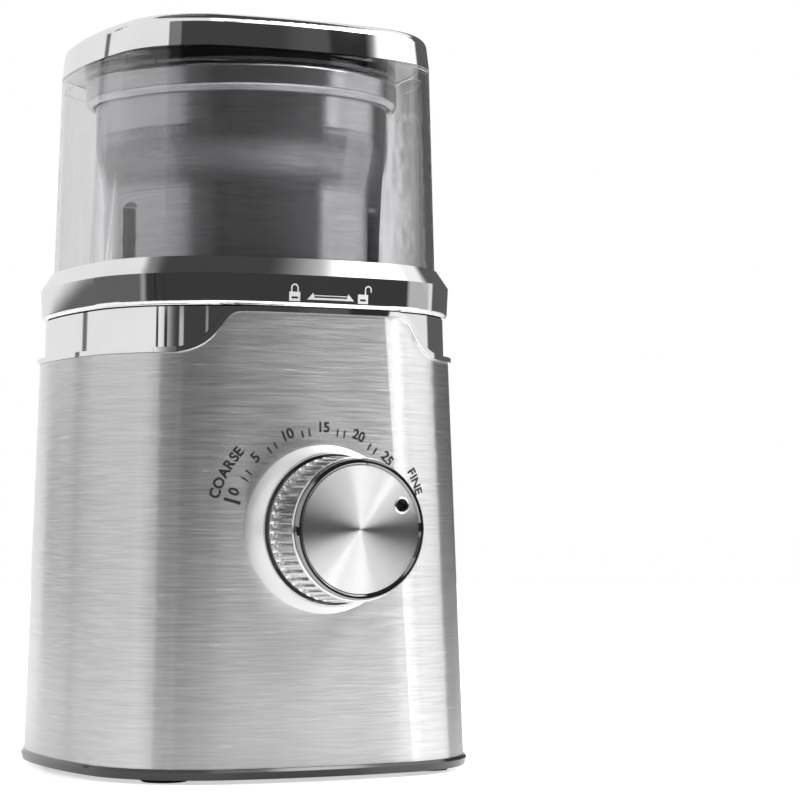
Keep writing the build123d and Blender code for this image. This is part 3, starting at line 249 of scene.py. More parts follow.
def wear(tree, shader, cloud, speck, low, high, rough, spread, bump=0.0, depth=0.0):
    """Colour, roughness and bump of a shader from the two noises of a group."""
    mix = tree.nodes.new("ShaderNodeMix")
    mix.data_type = "RGBA"
    low_colour, high_colour = [socket for socket in mix.inputs if socket.type == "RGBA"]
    mixed, = [socket for socket in mix.outputs if socket.type == "RGBA"]
    low_colour.default_value = (*low, 1)
    high_colour.default_value = (*high, 1)
    tree.links.new(ramp(tree, cloud, *cloud_range), mix.inputs["Factor"])
    tree.links.new(mixed, shader.inputs["Base Color"])
    tree.links.new(ramp(tree, speck, *speck_range, rough - spread, rough + spread),
                   shader.inputs["Roughness"])
    if bump:
        raised = add(tree, "ShaderNodeBump",
                     inputs=(("Strength", bump), ("Distance", depth), ("Height", speck)))
        tree.links.new(raised.outputs["Normal"], shader.inputs["Normal"])


def moulded(name, low, high, rough, spread=0.05, clouds=45.0, grain=900.0, bump=0.15, depth=0.08 * mm,
            **sockets):
    """Moulded plastic or rubber: cloudy colour, fine moulded grain."""
    material, tree, shader = finish_of(name, low, rough, **sockets)
    noise = add(tree, "ShaderNodeGroup", inputs=(("Clouds", clouds), ("Grain", grain)), node_tree=mottle)
    wear(tree, shader, noise.outputs["Cloud"], noise.outputs["Speck"], low, high, rough, spread, bump, depth)
    return material


def dress(material, *names):
    """Give CAD nodes their material."""
    for name in names:
        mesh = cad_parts[name].data
        mesh.materials.clear()
        mesh.materials.append(material)


rubber = moulded("moulded_rubber", (0.016, 0.016, 0.016), (0.032, 0.031, 0.030), rough=0.62)
dress(rubber, "rubber_feet", "cord_grommet", "shaft_seal", "rubber_mounts")

# ---------------------------------------------------------------- base tray
# Gloss black moulding: its rounded rim shows as a thin black ring under the steel, and its floor
# carries the air vents, the feet and four plated screws.
black_gloss = moulded("gloss_black_plastic", (0.006, 0.006, 0.006), (0.014, 0.014, 0.014), rough=0.10,
                      spread=0.03, grain=350.0, bump=0.03, Coat_Weight=0.6)
dress(black_gloss, "base_tray")

# zinc plate: these screws, and the steel fittings further in
zinc = moulded("zinc_plate", (0.42, 0.42, 0.40), (0.58, 0.57, 0.54), rough=0.34, spread=0.10, metallic=1.0)
dress(zinc, "base_screws", "shroud_screws", "mount_screws", "motor_bolts", "board_screws", "bowl_screws",
      "clip_screw", "plate_clip", "dial_nut", "top_bracket", "bottom_bracket", "interlock_spring")

# ---------------------------------------------------------------- inner frame, motor and board
# Moulded frame, laminated iron, wound copper and the small pieces on the board. They are shut in,
# and show only where the vents, the well or a lifted bowl let one look in.
grey_plastic = moulded("grey_moulding", (0.20, 0.20, 0.21), (0.27, 0.27, 0.28), rough=0.50)
dress(grey_plastic, "frame", "dial_switch", "lid_lock_ring")
black_plastic = moulded("matt_black_plastic", (0.012, 0.012, 0.012), (0.026, 0.026, 0.026), rough=0.42)
dress(black_plastic, "bowl_base", "bowl_hub", "interlock_switch", "board_parts", "carbon_brushes")
acetal = moulded("white_acetal", (0.62, 0.61, 0.57), (0.74, 0.73, 0.69), rough=0.38)
dress(acetal, "brush_holders", "cooling_fan", "drive_coupling", "driven_coupling", "interlock_pin")
bronze = moulded("sintered_bronze", (0.40, 0.25, 0.10), (0.58, 0.38, 0.18), rough=0.40, metallic=1.0)
dress(bronze, "motor_bearings", "bowl_bush")
board_green = moulded("board_green", (0.02, 0.09, 0.03), (0.04, 0.16, 0.05), rough=0.30)
dress(board_green, "control_board")


def vector_node(tree, operation, *values, output="Vector"):
    """Output of a Vector Math node."""
    return add(tree, "ShaderNodeVectorMath", enumerate(values), operation=operation).outputs[output]


# brushing: level streaks round an upright piece, a fine layer and a broad one
broad_scale = (0.35, 0.35, 0.30)        # of the broad streaks, as parts of the fine ones' scale
brushing, given, taken = shader_group("brushing", (("Across", 3200.0), ("Along", 70.0)), ("Fine", "Broad"))
place = add(brushing, "ShaderNodeTexCoord").outputs["Object"]
fine_scale = add(brushing, "ShaderNodeCombineXYZ", inputs=(("X", given["Along"]), ("Y", given["Along"]),
                                                           ("Z", given["Across"])))
fine_place = vector_node(brushing, "MULTIPLY", place, fine_scale.outputs[0])
fine = add(brushing, "ShaderNodeTexNoise", inputs=(("Vector", fine_place), ("Scale", 1.0),
                                                   ("Detail", 4.0), ("Roughness", 0.65)))
broad_place = vector_node(brushing, "MULTIPLY", fine_place, broad_scale)
broad = add(brushing, "ShaderNodeTexNoise", inputs=(("Vector", broad_place), ("Scale", 1.0),
                                                    ("Detail", 3.0)))
brushing.links.new(fine.outputs["Fac"], taken["Fine"])
brushing.links.new(broad.outputs["Fac"], taken["Broad"])
fine_share = 0.7              # of the colour; the broad streaks give the rest


def brushed(name, low, high, rough, spread, across=3200.0, along=70.0, bump=0.10, depth=0.03 * mm,
            stretch=0.6):
    """Steel, iron or copper brushed level, so that highlights spread up and down."""
    material, tree, shader = finish_of(name, low, rough, metallic=1.0, Anisotropic=stretch)
    streaks = add(tree, "ShaderNodeGroup", inputs=(("Across", across), ("Along", along)), node_tree=brushing)
    both = math_node(tree, "ADD", math_node(tree, "MULTIPLY", streaks.outputs["Fine"], fine_share),
                     math_node(tree, "MULTIPLY", streaks.outputs["Broad"], 1 - fine_share))
    wear(tree, shader, both, streaks.outputs["Fine"], low, high, rough, spread, bump, depth)
    upright = add(tree, "ShaderNodeCombineXYZ", inputs=(("Z", 1.0),))
    tree.links.new(upright.outputs[0], shader.inputs["Tangent"])
    return material


laminated = brushed("laminated_iron", (0.16, 0.16, 0.17), (0.34, 0.34, 0.35), rough=0.45, spread=0.10,
                    across=2000.0, along=4.0, stretch=0.3)
dress(laminated, "motor_stator", "armature_core")
copper = brushed("wound_copper", (0.42, 0.16, 0.06), (0.78, 0.36, 0.17), rough=0.32, spread=0.08,
                 across=1800.0, along=8.0, bump=0.3, depth=0.2 * mm, stretch=0.3)
dress(copper, "field_coils", "armature_windings", "commutator")
ground = brushed("ground_steel", (0.50, 0.50, 0.52), (0.66, 0.66, 0.68), rough=0.22, spread=0.06)
dress(ground, "motor_shaft", "blade_shaft", "dial_shaft")

# ---------------------------------------------------------------- steel wrap
# Stainless sheet 0.8 mm thick, bent round the body and brushed level all the way round, so every
# streak runs sideways and highlights spread up and down.
wrap_steel = brushed("brushed_steel_wrap", (0.71, 0.71, 0.71), (0.81, 0.81, 0.81), rough=0.25,
                     spread=0.025, across=2700.0, along=80.0, bump=0.011, stretch=0.9)
dress(wrap_steel, "body_wrap")

# ---------------------------------------------------------------- bright plating
# Mirror chrome on moulded plastic: the bead along the steel's top edge and the shroud above it,
# with its neck and well. Plating never lies dead flat, so it has faint orange peel.
hazed = 0.95                  # tone where the plating is haziest, as a share of its own
haze_spread = 0.3             # of its roughness, as a share of it


def plated(name, tone, rough, clouds=60.0, grain=260.0, bump=0.02, depth=0.05 * mm):
    """Chrome plating with faint orange peel and handling haze."""
    material, tree, shader = finish_of(name, tone, rough, metallic=1.0)
    noise = add(tree, "ShaderNodeGroup", inputs=(("Clouds", clouds), ("Grain", grain)), node_tree=mottle)
    darker = tuple(value * hazed for value in tone)
    wear(tree, shader, noise.outputs["Cloud"], noise.outputs["Speck"], darker, tone, rough,
         rough * haze_spread, bump, depth)
    return material


chrome = plated("mirror_chrome", (0.90, 0.90, 0.91), rough=0.03, bump=0.012)
dress(chrome, "trim_bead", "top_shroud")

# ---------------------------------------------------------------- dial scale
# Black ink on the steel round the dial: the numbers 0 to 30, a pair of ticks between two numbers,
# a thick bar at each end, and the words COARSE and FINE. It follows the curve of the steel.
dial_low, dial_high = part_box("dial_bezel")
dial_x = (dial_low.x + dial_high.x) / 2
dial_z = (dial_low.z + dial_high.z) / 2
depsgraph = bpy.context.evaluated_depsgraph_get()
sight_y = -0.2                # well in front of the grinder, in metres
across_dial = (1, 0, 1)       # as a factor, leaves only what lies across the dial's axis
ink_lift = 0.04 * mm
ink_depth = 0.03 * mm
boldness = 0.03               # part of a letter's size
letter_steps = 6
ink = moulded("black_ink", (0.008, 0.008, 0.008), (0.02, 0.02, 0.02), rough=0.45, bump=0.0)


def skin_of(solid):
    """Function that gives the front surface of a solid, as y at (x, z)."""
    tree = BVHTree.FromObject(solid, depsgraph)

    def front(x, z):
        return tree.ray_cast(Vector((x, sight_y, z)), Vector((0, 1, 0)))[0].y
    return front


def lettering(text, size):
    """Flat mesh data of a word, centred on its middle, as (points, faces)."""
    curve = bpy.data.curves.new("word", "FONT")
    curve.body = text
    curve.size = size
    curve.align_x = "CENTER"
    curve.align_y = "CENTER"
    curve.offset = boldness * size
    curve.resolution_u = letter_steps
    holder = bpy.data.objects.new("word", curve)
    bpy.context.scene.collection.objects.link(holder)
    bpy.context.view_layer.update()
    mesh = bpy.data.meshes.new_from_object(holder)
    points = [vertex.co.copy() for vertex in mesh.vertices]
    faces = [tuple(face.vertices) for face in mesh.polygons]
    bpy.data.objects.remove(holder)
    bpy.data.meshes.remove(mesh)
    return points, faces


def inked(piece, material, body):
    """Finish of a flat print: its thickness, material and body."""
    thick = piece.modifiers.new("ink", "SOLIDIFY")
    thick.thickness = ink_depth
    thick.offset = 0.0
    piece.data.materials.clear()
    piece.data.materials.append(material)
    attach(piece, body)


def print_on(front, name, marks, material, body):
    """One thin mesh of flat marks, each turned, moved to (x, z) and laid on the surface."""
    points, faces = [], []
    for (shape, polygons), turn, x, z in marks:
        first = len(points)
        for point in shape:
            px = x + point.x * math.cos(turn) - point.y * math.sin(turn)
            pz = z + point.x * math.sin(turn) + point.y * math.cos(turn)
            points.append((px, front(px, pz) - ink_lift, pz))
        faces += [tuple(first + index for index in polygon) for polygon in polygons]
    mesh = bpy.data.meshes.new(name)
    mesh.from_pydata(points, [], faces)
    mesh.validate()
    piece = bpy.data.objects.new(name, mesh)
    bpy.context.scene.collection.objects.link(piece)
    inked(piece, material, body)


def on_circle(radius, angle):
    """Place at a radius and an angle in degrees about the dial's axis, as (x, z)."""
    return dial_x + radius * cosine(angle), dial_z + radius * sine(angle)


numbers = [str(5 * index) for index in range(7)]
number_circle = 29.3 * mm
number_size = 4.1 * mm
scale_start = 158.7           # degrees, where 0 stands
scale_step = -22.82           # degrees from one number to the next
words = (("COARSE", 165.0, 137.8), ("FINE", 31.2, 17.4))      # with the degrees where they start and end
word_circle = 34.0 * mm
letter_size = 4.0 * mm
letter_gap = 0.45 * mm
marks = []
for index, number in enumerate(numbers):
    angle = scale_start + index * scale_step
    marks.append((lettering(number, number_size), math.radians(angle - 90),
                  *on_circle(number_circle, angle)))
for word, start, end in words:
    letters = [lettering(letter, letter_size) for letter in word]
    sides = [(min(point.x for point in points), max(point.x for point in points))
             for points, faces in letters]
    spans = [right - left + letter_gap for left, right in sides]
    for index, (points, faces) in enumerate(letters):
        angle = start + (end - start) * (sum(spans[:index]) + spans[index] / 2) / sum(spans)
        letter_middle = Vector((sum(sides[index]) / 2, 0, 0))
        marks.append((([point - letter_middle for point in points], faces), math.radians(angle - 90),
                      *on_circle(word_circle, angle)))
print_on(skin_of(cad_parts["body_wrap"]), "dial_scale", marks, ink, "base")


def growing(name, inputs):
    """New Geometry Nodes tree with named inputs, as (tree, its inputs, its output)."""
    tree = bpy.data.node_groups.new(name, "GeometryNodeTree")
    tree.interface.new_socket("Geometry", in_out="INPUT", socket_type="NodeSocketGeometry")
    for label, kind in inputs:
        tree.interface.new_socket(label, in_out="INPUT", socket_type="NodeSocket" + kind)
    tree.interface.new_socket("Geometry", in_out="OUTPUT", socket_type="NodeSocketGeometry")
    return tree, tree.nodes.new("NodeGroupInput").outputs, tree.nodes.new("NodeGroupOutput").inputs


def grow(name, tree, values, start=None):
    """Object whose plain mesh is what a tree makes of a starting mesh."""
    piece = bpy.data.objects.new(name, start or bpy.data.meshes.new(name))
    bpy.context.scene.collection.objects.link(piece)
    nodes = piece.modifiers.new("nodes", "NODES")
    nodes.node_group = tree
    for socket in tree.interface.items_tree:
        if socket.in_out == "INPUT" and socket.name in values:
            nodes[socket.identifier] = values[socket.name]
    bpy.context.view_layer.update()
    mesh = bpy.data.meshes.new_from_object(piece.evaluated_get(bpy.context.evaluated_depsgraph_get()))
    piece.modifiers.remove(nodes)
    piece.data = mesh
    mesh.name = name
    return piece


# ticks: short bars in pairs round a circle, cast back on to the front surface of a solid
ticks, given, taken = growing("ticks", (
    ("Pairs", "Int"), ("First Angle", "Float"), ("Step", "Float"), ("Half Gap", "Float"),
    ("Circle", "Float"), ("Width", "Float"), ("Length", "Float"), ("Lift", "Float"),
    ("Centre", "Vector"), ("Surface", "Object"), ("Ink", "Material")))
tick_columns, tick_rows = 12, 3
tick = add(ticks, "GeometryNodeInputIndex").outputs[0]
pair = math_node(ticks, "FLOOR", math_node(ticks, "DIVIDE", tick, 2.0))
second = math_node(ticks, "MODULO", tick, 2.0)
side = math_node(ticks, "SUBTRACT", math_node(ticks, "MULTIPLY", second, 2.0), 1.0)
angle = math_node(ticks, "ADD", given["First Angle"],
                  math_node(ticks, "ADD", math_node(ticks, "MULTIPLY", pair, given["Step"]),
                            math_node(ticks, "MULTIPLY", side, given["Half Gap"])))
spot = add(ticks, "ShaderNodeCombineXYZ", inputs=(
    ("X", math_node(ticks, "MULTIPLY", given["Circle"], math_node(ticks, "COSINE", angle))),
    ("Z", math_node(ticks, "MULTIPLY", given["Circle"], math_node(ticks, "SINE", angle)))))
spots = add(ticks, "GeometryNodePoints", inputs=(
    ("Count", math_node(ticks, "MULTIPLY", given["Pairs"], 2.0)),
    ("Position", vector_node(ticks, "ADD", given["Centre"], spot.outputs[0]))))
strip = add(ticks, "GeometryNodeMeshGrid", inputs=(
    ("Size X", given["Length"]), ("Size Y", given["Width"]),
    ("Vertices X", tick_columns), ("Vertices Y", tick_rows)))
radial = add(ticks, "ShaderNodeCombineXYZ",
             inputs=(("X", math.pi / 2), ("Y", math_node(ticks, "MULTIPLY", angle, -1.0))))
standing = add(ticks, "GeometryNodeInstanceOnPoints", inputs=(
    ("Points", spots.outputs[0]), ("Instance", strip.outputs["Mesh"]), ("Rotation", radial.outputs[0])))
real = add(ticks, "GeometryNodeRealizeInstances", inputs=(("Geometry", standing.outputs[0]),))
target = add(ticks, "GeometryNodeObjectInfo", inputs=(("Object", given["Surface"]),))
place = add(ticks, "GeometryNodeInputPosition").outputs[0]
in_front = vector_node(ticks, "ADD", vector_node(ticks, "MULTIPLY", place, across_dial), (0, sight_y, 0))
touch = add(ticks, "GeometryNodeRaycast", inputs=(
    ("Target Geometry", target.outputs["Geometry"]), ("Source Position", in_front),
    ("Ray Direction", (0, 1, 0)), ("Ray Length", -2 * sight_y)))
off_skin = add(ticks, "ShaderNodeCombineXYZ",
               inputs=(("Y", math_node(ticks, "MULTIPLY", given["Lift"], -1.0)),))
laid = add(ticks, "GeometryNodeSetPosition", inputs=(
    ("Geometry", real.outputs[0]), ("Position", touch.outputs["Hit Position"]),
    ("Offset", off_skin.outputs[0])))
painted = add(ticks, "GeometryNodeSetMaterial",
              inputs=(("Geometry", laid.outputs[0]), ("Material", given["Ink"])))
ticks.links.new(painted.outputs[0], taken["Geometry"])

on_wrap = {"Lift": ink_lift, "Centre": (dial_x, 0, dial_z), "Surface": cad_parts["body_wrap"],
           "Ink": ink}
dial_ticks = grow("dial_ticks", ticks, {
    "Pairs": len(numbers) - 1, "First Angle": math.radians(scale_start + scale_step / 2),
    "Step": math.radians(scale_step), "Half Gap": math.radians(2.3),
    "Circle": 28.2 * mm, "Width": 0.5 * mm, "Length": 2.2 * mm, **on_wrap})
inked(dial_ticks, ink, "base")
end_bars = grow("dial_end_bars", ticks, {
    "Pairs": 1, "First Angle": math.radians(90), "Step": 0.0, "Half Gap": math.radians(74),
    "Circle": 29.0 * mm, "Width": 0.9 * mm, "Length": 4.8 * mm, **on_wrap})
inked(end_bars, ink, "base")

# ---------------------------------------------------------------- dial
# The skirt is satin silver and fixed to the body. The plated, fluted knob inside it turns, with a
# smoked chrome ring, a spun aluminium disc and a small black index that has a thin bright rim.
satin = moulded("satin_silver", (0.90, 0.90, 0.90), (0.93, 0.93, 0.93), rough=0.36, spread=0.02, bump=0.0,
                metallic=0.55)
dress(satin, "dial_bezel")
smoked = plated("smoked_chrome", (0.30, 0.30, 0.31), rough=0.04)
dress(smoked, "knob_ring")

# the knob's section: radii from its axis, and places along it as y
knob_low, knob_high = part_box("knob_body")
foot_radius = (knob_high.x - knob_low.x) / 2
front_radius = foot_radius - 0.7 * mm
bore_radius, bore_y = 3.05 * mm, -75.47 * mm                 # blind bore for the dial's shaft
boss_radius, boss_y = 6.49 * mm, -64.97 * mm                 # boss round it, and its rear
hollow_radius, hollow_y = 18.1 * mm, -79.4 * mm              # floor of the hollow round the boss
mouth_radius, mouth_y = 18.9 * mm, -60.87 * mm               # its mouth at the knob's rear
rear_radius = 20.7 * mm
rear_bevel = 0.3 * mm
front_bevel = ((0.25 * mm, 0.12 * mm), (0.8 * mm, 0.0))      # steps in from the wall and back from the front
ribs = 48
steps_per_rib = 14
groove_radius = 0.82 * mm
wall_front = knob_low.y + 0.5 * mm
groove_end = wall_front + 1.3 * mm
groove_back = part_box("dial_bezel")[0].y - 2.3 * mm
round_end = 1.2 * mm
stretches = (                 # of the wall, from one y to the next in so many steps
    (knob_high.y - rear_bevel, groove_back + round_end, 4), (groove_back + round_end, groove_back, 12),
    (groove_back, groove_end, 8), (groove_end, wall_front, 14))
wall = [near + (far - near) * step / steps for near, far, steps in stretches for step in range(steps)]
taper = (front_radius - foot_radius) / (knob_high.y - wall_front)
knob_profile = [(0.0, bore_y), (bore_radius, bore_y), (bore_radius, boss_y), (boss_radius, boss_y),
                (boss_radius, hollow_y), (hollow_radius, hollow_y), (mouth_radius, mouth_y),
                (rear_radius, mouth_y)]
knob_profile += [(foot_radius + taper * (knob_high.y - depth), depth) for depth in wall + [wall_front]]
knob_profile += [(front_radius - inward, knob_low.y + back) for inward, back in front_bevel]
knob_profile += [(0.0, knob_low.y)]


def turned(name, profile, around_count, centre_x, centre_z):
    """Closed mesh of a profile of (radius, y) turned about an axis along Y."""
    shape = bmesh.new()
    turns = [2 * math.pi * step / around_count for step in range(around_count)]
    rings = []
    for radius, depth in profile:
        if radius == 0.0:
            rings.append([shape.verts.new((centre_x, depth, centre_z))] * around_count)
            continue
        rings.append([shape.verts.new((centre_x + radius * math.cos(turn), depth,
                                       centre_z + radius * math.sin(turn))) for turn in turns])
    for near, far in zip(rings, rings[1:]):
        for step in range(around_count):
            follow = (step + 1) % around_count
            shape.faces.new(dict.fromkeys((near[step], near[follow], far[follow], far[step])))
    bmesh.ops.recalc_face_normals(shape, faces=shape.faces)
    mesh = bpy.data.meshes.new(name)
    shape.to_mesh(mesh)
    shape.free()
    return mesh


# fluting: grooves of round section cut along a wall, each with two round ends
fluting, given, taken = growing("fluting", (
    ("Ribs", "Int"), ("Groove Radius", "Float"), ("Front End", "Float"), ("Back End", "Float"),
    ("Least Radius", "Float"), ("Axis Place", "Vector"), ("Plating", "Material")))
place = add(fluting, "GeometryNodeInputPosition").outputs[0]
away = vector_node(fluting, "SUBTRACT", place, given["Axis Place"])
from_axis = vector_node(fluting, "MULTIPLY", away, across_dial)
out_x, depth, out_z = add(fluting, "ShaderNodeSeparateXYZ", inputs=((0, away),)).outputs
reach = vector_node(fluting, "LENGTH", from_axis, output="Value")
pitch = math_node(fluting, "DIVIDE", 2 * math.pi, given["Ribs"])
turn = math_node(fluting, "ADD", math_node(fluting, "ARCTAN2", out_z, out_x), 2 * math.pi)
off_middle = math_node(fluting, "SUBTRACT", math_node(fluting, "MODULO", turn, pitch),
                       math_node(fluting, "DIVIDE", pitch, 2.0))
sideways = math_node(fluting, "MULTIPLY", off_middle, reach)
past_front = math_node(fluting, "SUBTRACT", given["Front End"], depth)
past_back = math_node(fluting, "SUBTRACT", depth, given["Back End"])
past_end = math_node(fluting, "MAXIMUM", math_node(fluting, "MAXIMUM", past_front, past_back), 0.0)
span = math_node(fluting, "ADD", math_node(fluting, "MULTIPLY", sideways, sideways),
                 math_node(fluting, "MULTIPLY", past_end, past_end))
whole = math_node(fluting, "MULTIPLY", given["Groove Radius"], given["Groove Radius"])
room = math_node(fluting, "MAXIMUM", math_node(fluting, "SUBTRACT", whole, span), 0.0)
on_wall = math_node(fluting, "GREATER_THAN", reach, given["Least Radius"])
cut = math_node(fluting, "MULTIPLY", math_node(fluting, "SQRT", room), on_wall)
shift = add(fluting, "ShaderNodeVectorMath", operation="SCALE",
            inputs=((0, vector_node(fluting, "NORMALIZE", from_axis)),
                    ("Scale", math_node(fluting, "MULTIPLY", cut, -1.0))))
grooved = add(fluting, "GeometryNodeSetPosition",
              inputs=(("Geometry", given["Geometry"]), ("Offset", shift.outputs[0])))
real = add(fluting, "GeometryNodeRealizeInstances", inputs=(("Geometry", grooved.outputs[0]),))
painted = add(fluting, "GeometryNodeSetMaterial",
              inputs=(("Geometry", real.outputs[0]), ("Material", given["Plating"])))
fluting.links.new(painted.outputs[0], taken["Geometry"])

flute_chrome = plated("fluted_chrome", (0.80, 0.80, 0.81), rough=0.13, bump=0.0)
blank = turned("blank", knob_profile, ribs * steps_per_rib, dial_x, dial_z)
knob = grow("fluted_knob", fluting, {
    "Ribs": ribs, "Groove Radius": groove_radius, "Front End": groove_end, "Back End": groove_back,
    "Least Radius": 20.0 * mm, "Axis Place": (dial_x, 0, dial_z), "Plating": flute_chrome}, blank)
knob.data.shade_smooth()
knob.data.set_sharp_from_angle(angle=math.radians(38))
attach(knob, "knob")
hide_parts("knob_body")

# spun disc: fine rings turned about its middle, so that highlights spread into a fan
disc_tones = ((0.91, 0.91, 0.92), (0.94, 0.94, 0.95))
disc_rough = 0.28
turning_marks = 9000.0        # to a metre of radius
disc, tree, shader = finish_of("spun_disc", disc_tones[0], disc_rough, metallic=1.0, Anisotropic=1.0)
place = add(tree, "ShaderNodeTexCoord").outputs["Object"]
centred = vector_node(tree, "SUBTRACT", place, (dial_x, 0, dial_z))
from_middle = vector_node(tree, "MULTIPLY", centred, across_dial)
outward = add(tree, "ShaderNodeVectorTransform", vector_type="VECTOR", convert_from="OBJECT",
              convert_to="WORLD", inputs=((0, vector_node(tree, "NORMALIZE", from_middle)),))
reach = vector_node(tree, "LENGTH", from_middle, output="Value")
turning = add(tree, "ShaderNodeTexNoise", noise_dimensions="1D", inputs=(
    ("W", math_node(tree, "MULTIPLY", reach, turning_marks)), ("Scale", 1.0), ("Detail", 2.0)))
wear(tree, shader, turning.outputs["Fac"], turning.outputs["Fac"], *disc_tones, disc_rough, spread=0.003)
tree.links.new(outward.outputs[0], shader.inputs["Tangent"])
dress(disc, "knob_face")
dress(black_gloss, "knob_index")

# thin bright rim of the index's hole in the disc; its section is out from the hole's edge and back from
# the disc's front, in millimetres
index_low, index_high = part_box("knob_index")
index_middle = (index_low + index_high) / 2
index_radius = (index_high.x - index_low.x) / 2
face_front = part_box("knob_face")[0].y
rim_section = ((-0.02, 0.05), (-0.02, -0.08), (0.15, -0.22), (0.40, -0.22), (0.60, 0.05))
rim_sides = 48
rim_profile = [(index_radius + out * mm, face_front + back * mm) for out, back in rim_section]
rim_mesh = turned("index_rim", rim_profile + rim_profile[:1], rim_sides, index_middle.x, index_middle.z)
index_rim = bpy.data.objects.new("index_rim", rim_mesh)
index_rim.data.shade_smooth()
index_rim.data.materials.append(chrome)
bpy.context.scene.collection.objects.link(index_rim)
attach(index_rim, "knob")

# ---------------------------------------------------------------- bowl and blade
# The bowl is deep-drawn stainless, brushed level, and screwed to its black base. The blade is stamped
# from harder steel, with its tips bent up, and riveted to its shaft.
bowl_steel = brushed("brushed_bowl_steel", (0.58, 0.58, 0.59), (0.67, 0.67, 0.68), rough=0.25, spread=0.02,
                     across=3400.0, along=110.0, bump=0.005, stretch=0.7)
touching = 0.0005 * mm        # points nearer than this are one


def reshaped(node, name, moved, turned_normal, cuts=()):
    """Copy of a CAD node, cut level at some heights, its points moved and its normals turned to suit."""
    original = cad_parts[node].data
    normals = {}
    for polygon in original.polygons:
        key = tuple(round(value, 6) for value in polygon.center)
        normals[key] = [(original.vertices[original.loops[loop].vertex_index].co.copy(),
                         original.corner_normals[loop].vector.copy()) for loop in polygon.loop_indices]
    shape = bmesh.new()
    shape.from_mesh(original)
    bmesh.ops.remove_doubles(shape, verts=shape.verts, dist=touching)
    for cut_height in cuts:
        bmesh.ops.bisect_plane(shape, geom=shape.verts[:] + shape.edges[:] + shape.faces[:], dist=touching,
                               plane_co=(0, 0, cut_height), plane_no=(0, 0, 1))
    mesh = bpy.data.meshes.new(name)
    shape.to_mesh(mesh)
    shape.free()
    corners = [None] * len(mesh.loops)
    for polygon in mesh.polygons:
        known = normals.get(tuple(round(value, 6) for value in polygon.center), ())
        for loop in polygon.loop_indices:
            point = mesh.vertices[mesh.loops[loop].vertex_index].co
            nearest = min(known, key=lambda pair: (pair[0] - point).length, default=(point, polygon.normal))
            corners[loop] = turned_normal(nearest[1].copy(), point)
    for vertex in mesh.vertices:
        vertex.co = moved(vertex.co.copy())
    mesh.shade_smooth()
    mesh.normals_split_custom_set(corners)
    piece = bpy.data.objects.new(name, mesh)
    bpy.context.scene.collection.objects.link(piece)
    return piece


# the drawn shoulder is a soft double curve, longer than the cone that stands for it in the frame
bowl_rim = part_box("grinding_bowl")[1].z
cone_low, cone_high = bowl_rim - 25.0 * mm, bowl_rim - 19.0 * mm
cone_slack = 0.01             # part of the cone's height
cone_cuts = 8
soft_low, soft_high = bowl_rim - 35.9 * mm, bowl_rim - 18.0 * mm
still_below, still_above = bowl_rim - 43.4 * mm, bowl_rim - 8.4 * mm
shoulder_step = 2.4 * mm      # from the wall below the shoulder out to the wall above it


def softened(point):
    """New place of a point of the bowl: heights stretched over the shoulder, its slope made a curve."""
    heights = (0.0, still_below, cone_low, cone_high, still_above, 1.0)
    soft_heights = (0.0, still_below, soft_low, soft_high, still_above, 1.0)
    step = min(bisect.bisect(heights, point.z), len(heights) - 1)
    part = (point.z - heights[step - 1]) / (heights[step] - heights[step - 1])
    z = soft_heights[step - 1] + part * (soft_heights[step] - soft_heights[step - 1])
    share = min(max((point.z - cone_low) / (cone_high - cone_low), 0.0), 1.0)
    out = shoulder_step * (share * share * (3 - 2 * share) - share)
    grown = 1 + out / math.hypot(point.x, point.y)
    return Vector((point.x * grown, point.y * grown, z))


def soft_normal(normal, point):
    """Normal there: on the shoulder it follows the double curve."""
    share = (point.z - cone_low) / (cone_high - cone_low)
    if not -cone_slack <= share <= 1 + cone_slack:
        return normal
    share = min(max(share, 0.0), 1.0)
    slope = shoulder_step * 6 * share * (1 - share) / (soft_high - soft_low)
    level = Vector((normal.x, normal.y, 0)).normalized()
    outside = 1 if level.x * point.x + level.y * point.y > 0 else -1
    return Vector((level.x, level.y, -slope * outside)).normalized()


bowl = reshaped("grinding_bowl", "drawn_bowl", softened, soft_normal,
                [cone_low + (cone_high - cone_low) * step / cone_cuts for step in range(1, cone_cuts)])
bowl.data.materials.append(bowl_steel)
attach(bowl, "bowl")
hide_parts("grinding_bowl")

blade_steel = brushed("ground_blade_steel", (0.66, 0.66, 0.67), (0.80, 0.80, 0.81), rough=0.20, spread=0.05,
                      across=900.0, along=260.0, bump=0.05, stretch=0.3)
dress(blade_steel, "blade", "blade_rivet")

# ---------------------------------------------------------------- lid collar
# Chrome-plated moulding with a bevel above and an upright band below, which draws in by a few
# tenths towards its foot so that it leaves the mould. Silver marks show which way it locks.
collar_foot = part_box("lid_collar")[0].z
band_top = collar_foot + 9.2 * mm
band_draw = math.tan(math.radians(2.7))
level_slack = 0.02 * mm
outside_from = 0.97           # part of the outline's reach beyond which a point is on the outside
bevel_rise = 0.3              # a normal that rises more than this is the bevel's


def outline_reach(points, height):
    """Function that gives the outline's distance from the axis at a bearing, read at one height."""
    ring = {}
    for x, y, z in points:
        if abs(z - height) < level_slack:
            bearing = round(math.atan2(y, x), 3)
            ring[bearing] = max(ring.get(bearing, 0.0), math.hypot(x, y))
    bearings = sorted(ring)

    def reach(x, y):
        bearing = math.atan2(y, x)
        after = bisect.bisect(bearings, bearing) % len(bearings)
        before = after - 1
        gap = (bearings[after] - bearings[before]) % (2 * math.pi)
        part = ((bearing - bearings[before]) % (2 * math.pi)) / gap
        return ring[bearings[before]] * (1 - part) + ring[bearings[after]] * part
    return reach


reach_at = outline_reach([vertex.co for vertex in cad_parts["lid_collar"].data.vertices], band_top)


def on_band(point):
    """Whether a point of the collar lies on the outside of its band."""
    return (point.z < band_top + level_slack
            and math.hypot(point.x, point.y) > outside_from * reach_at(point.x, point.y))


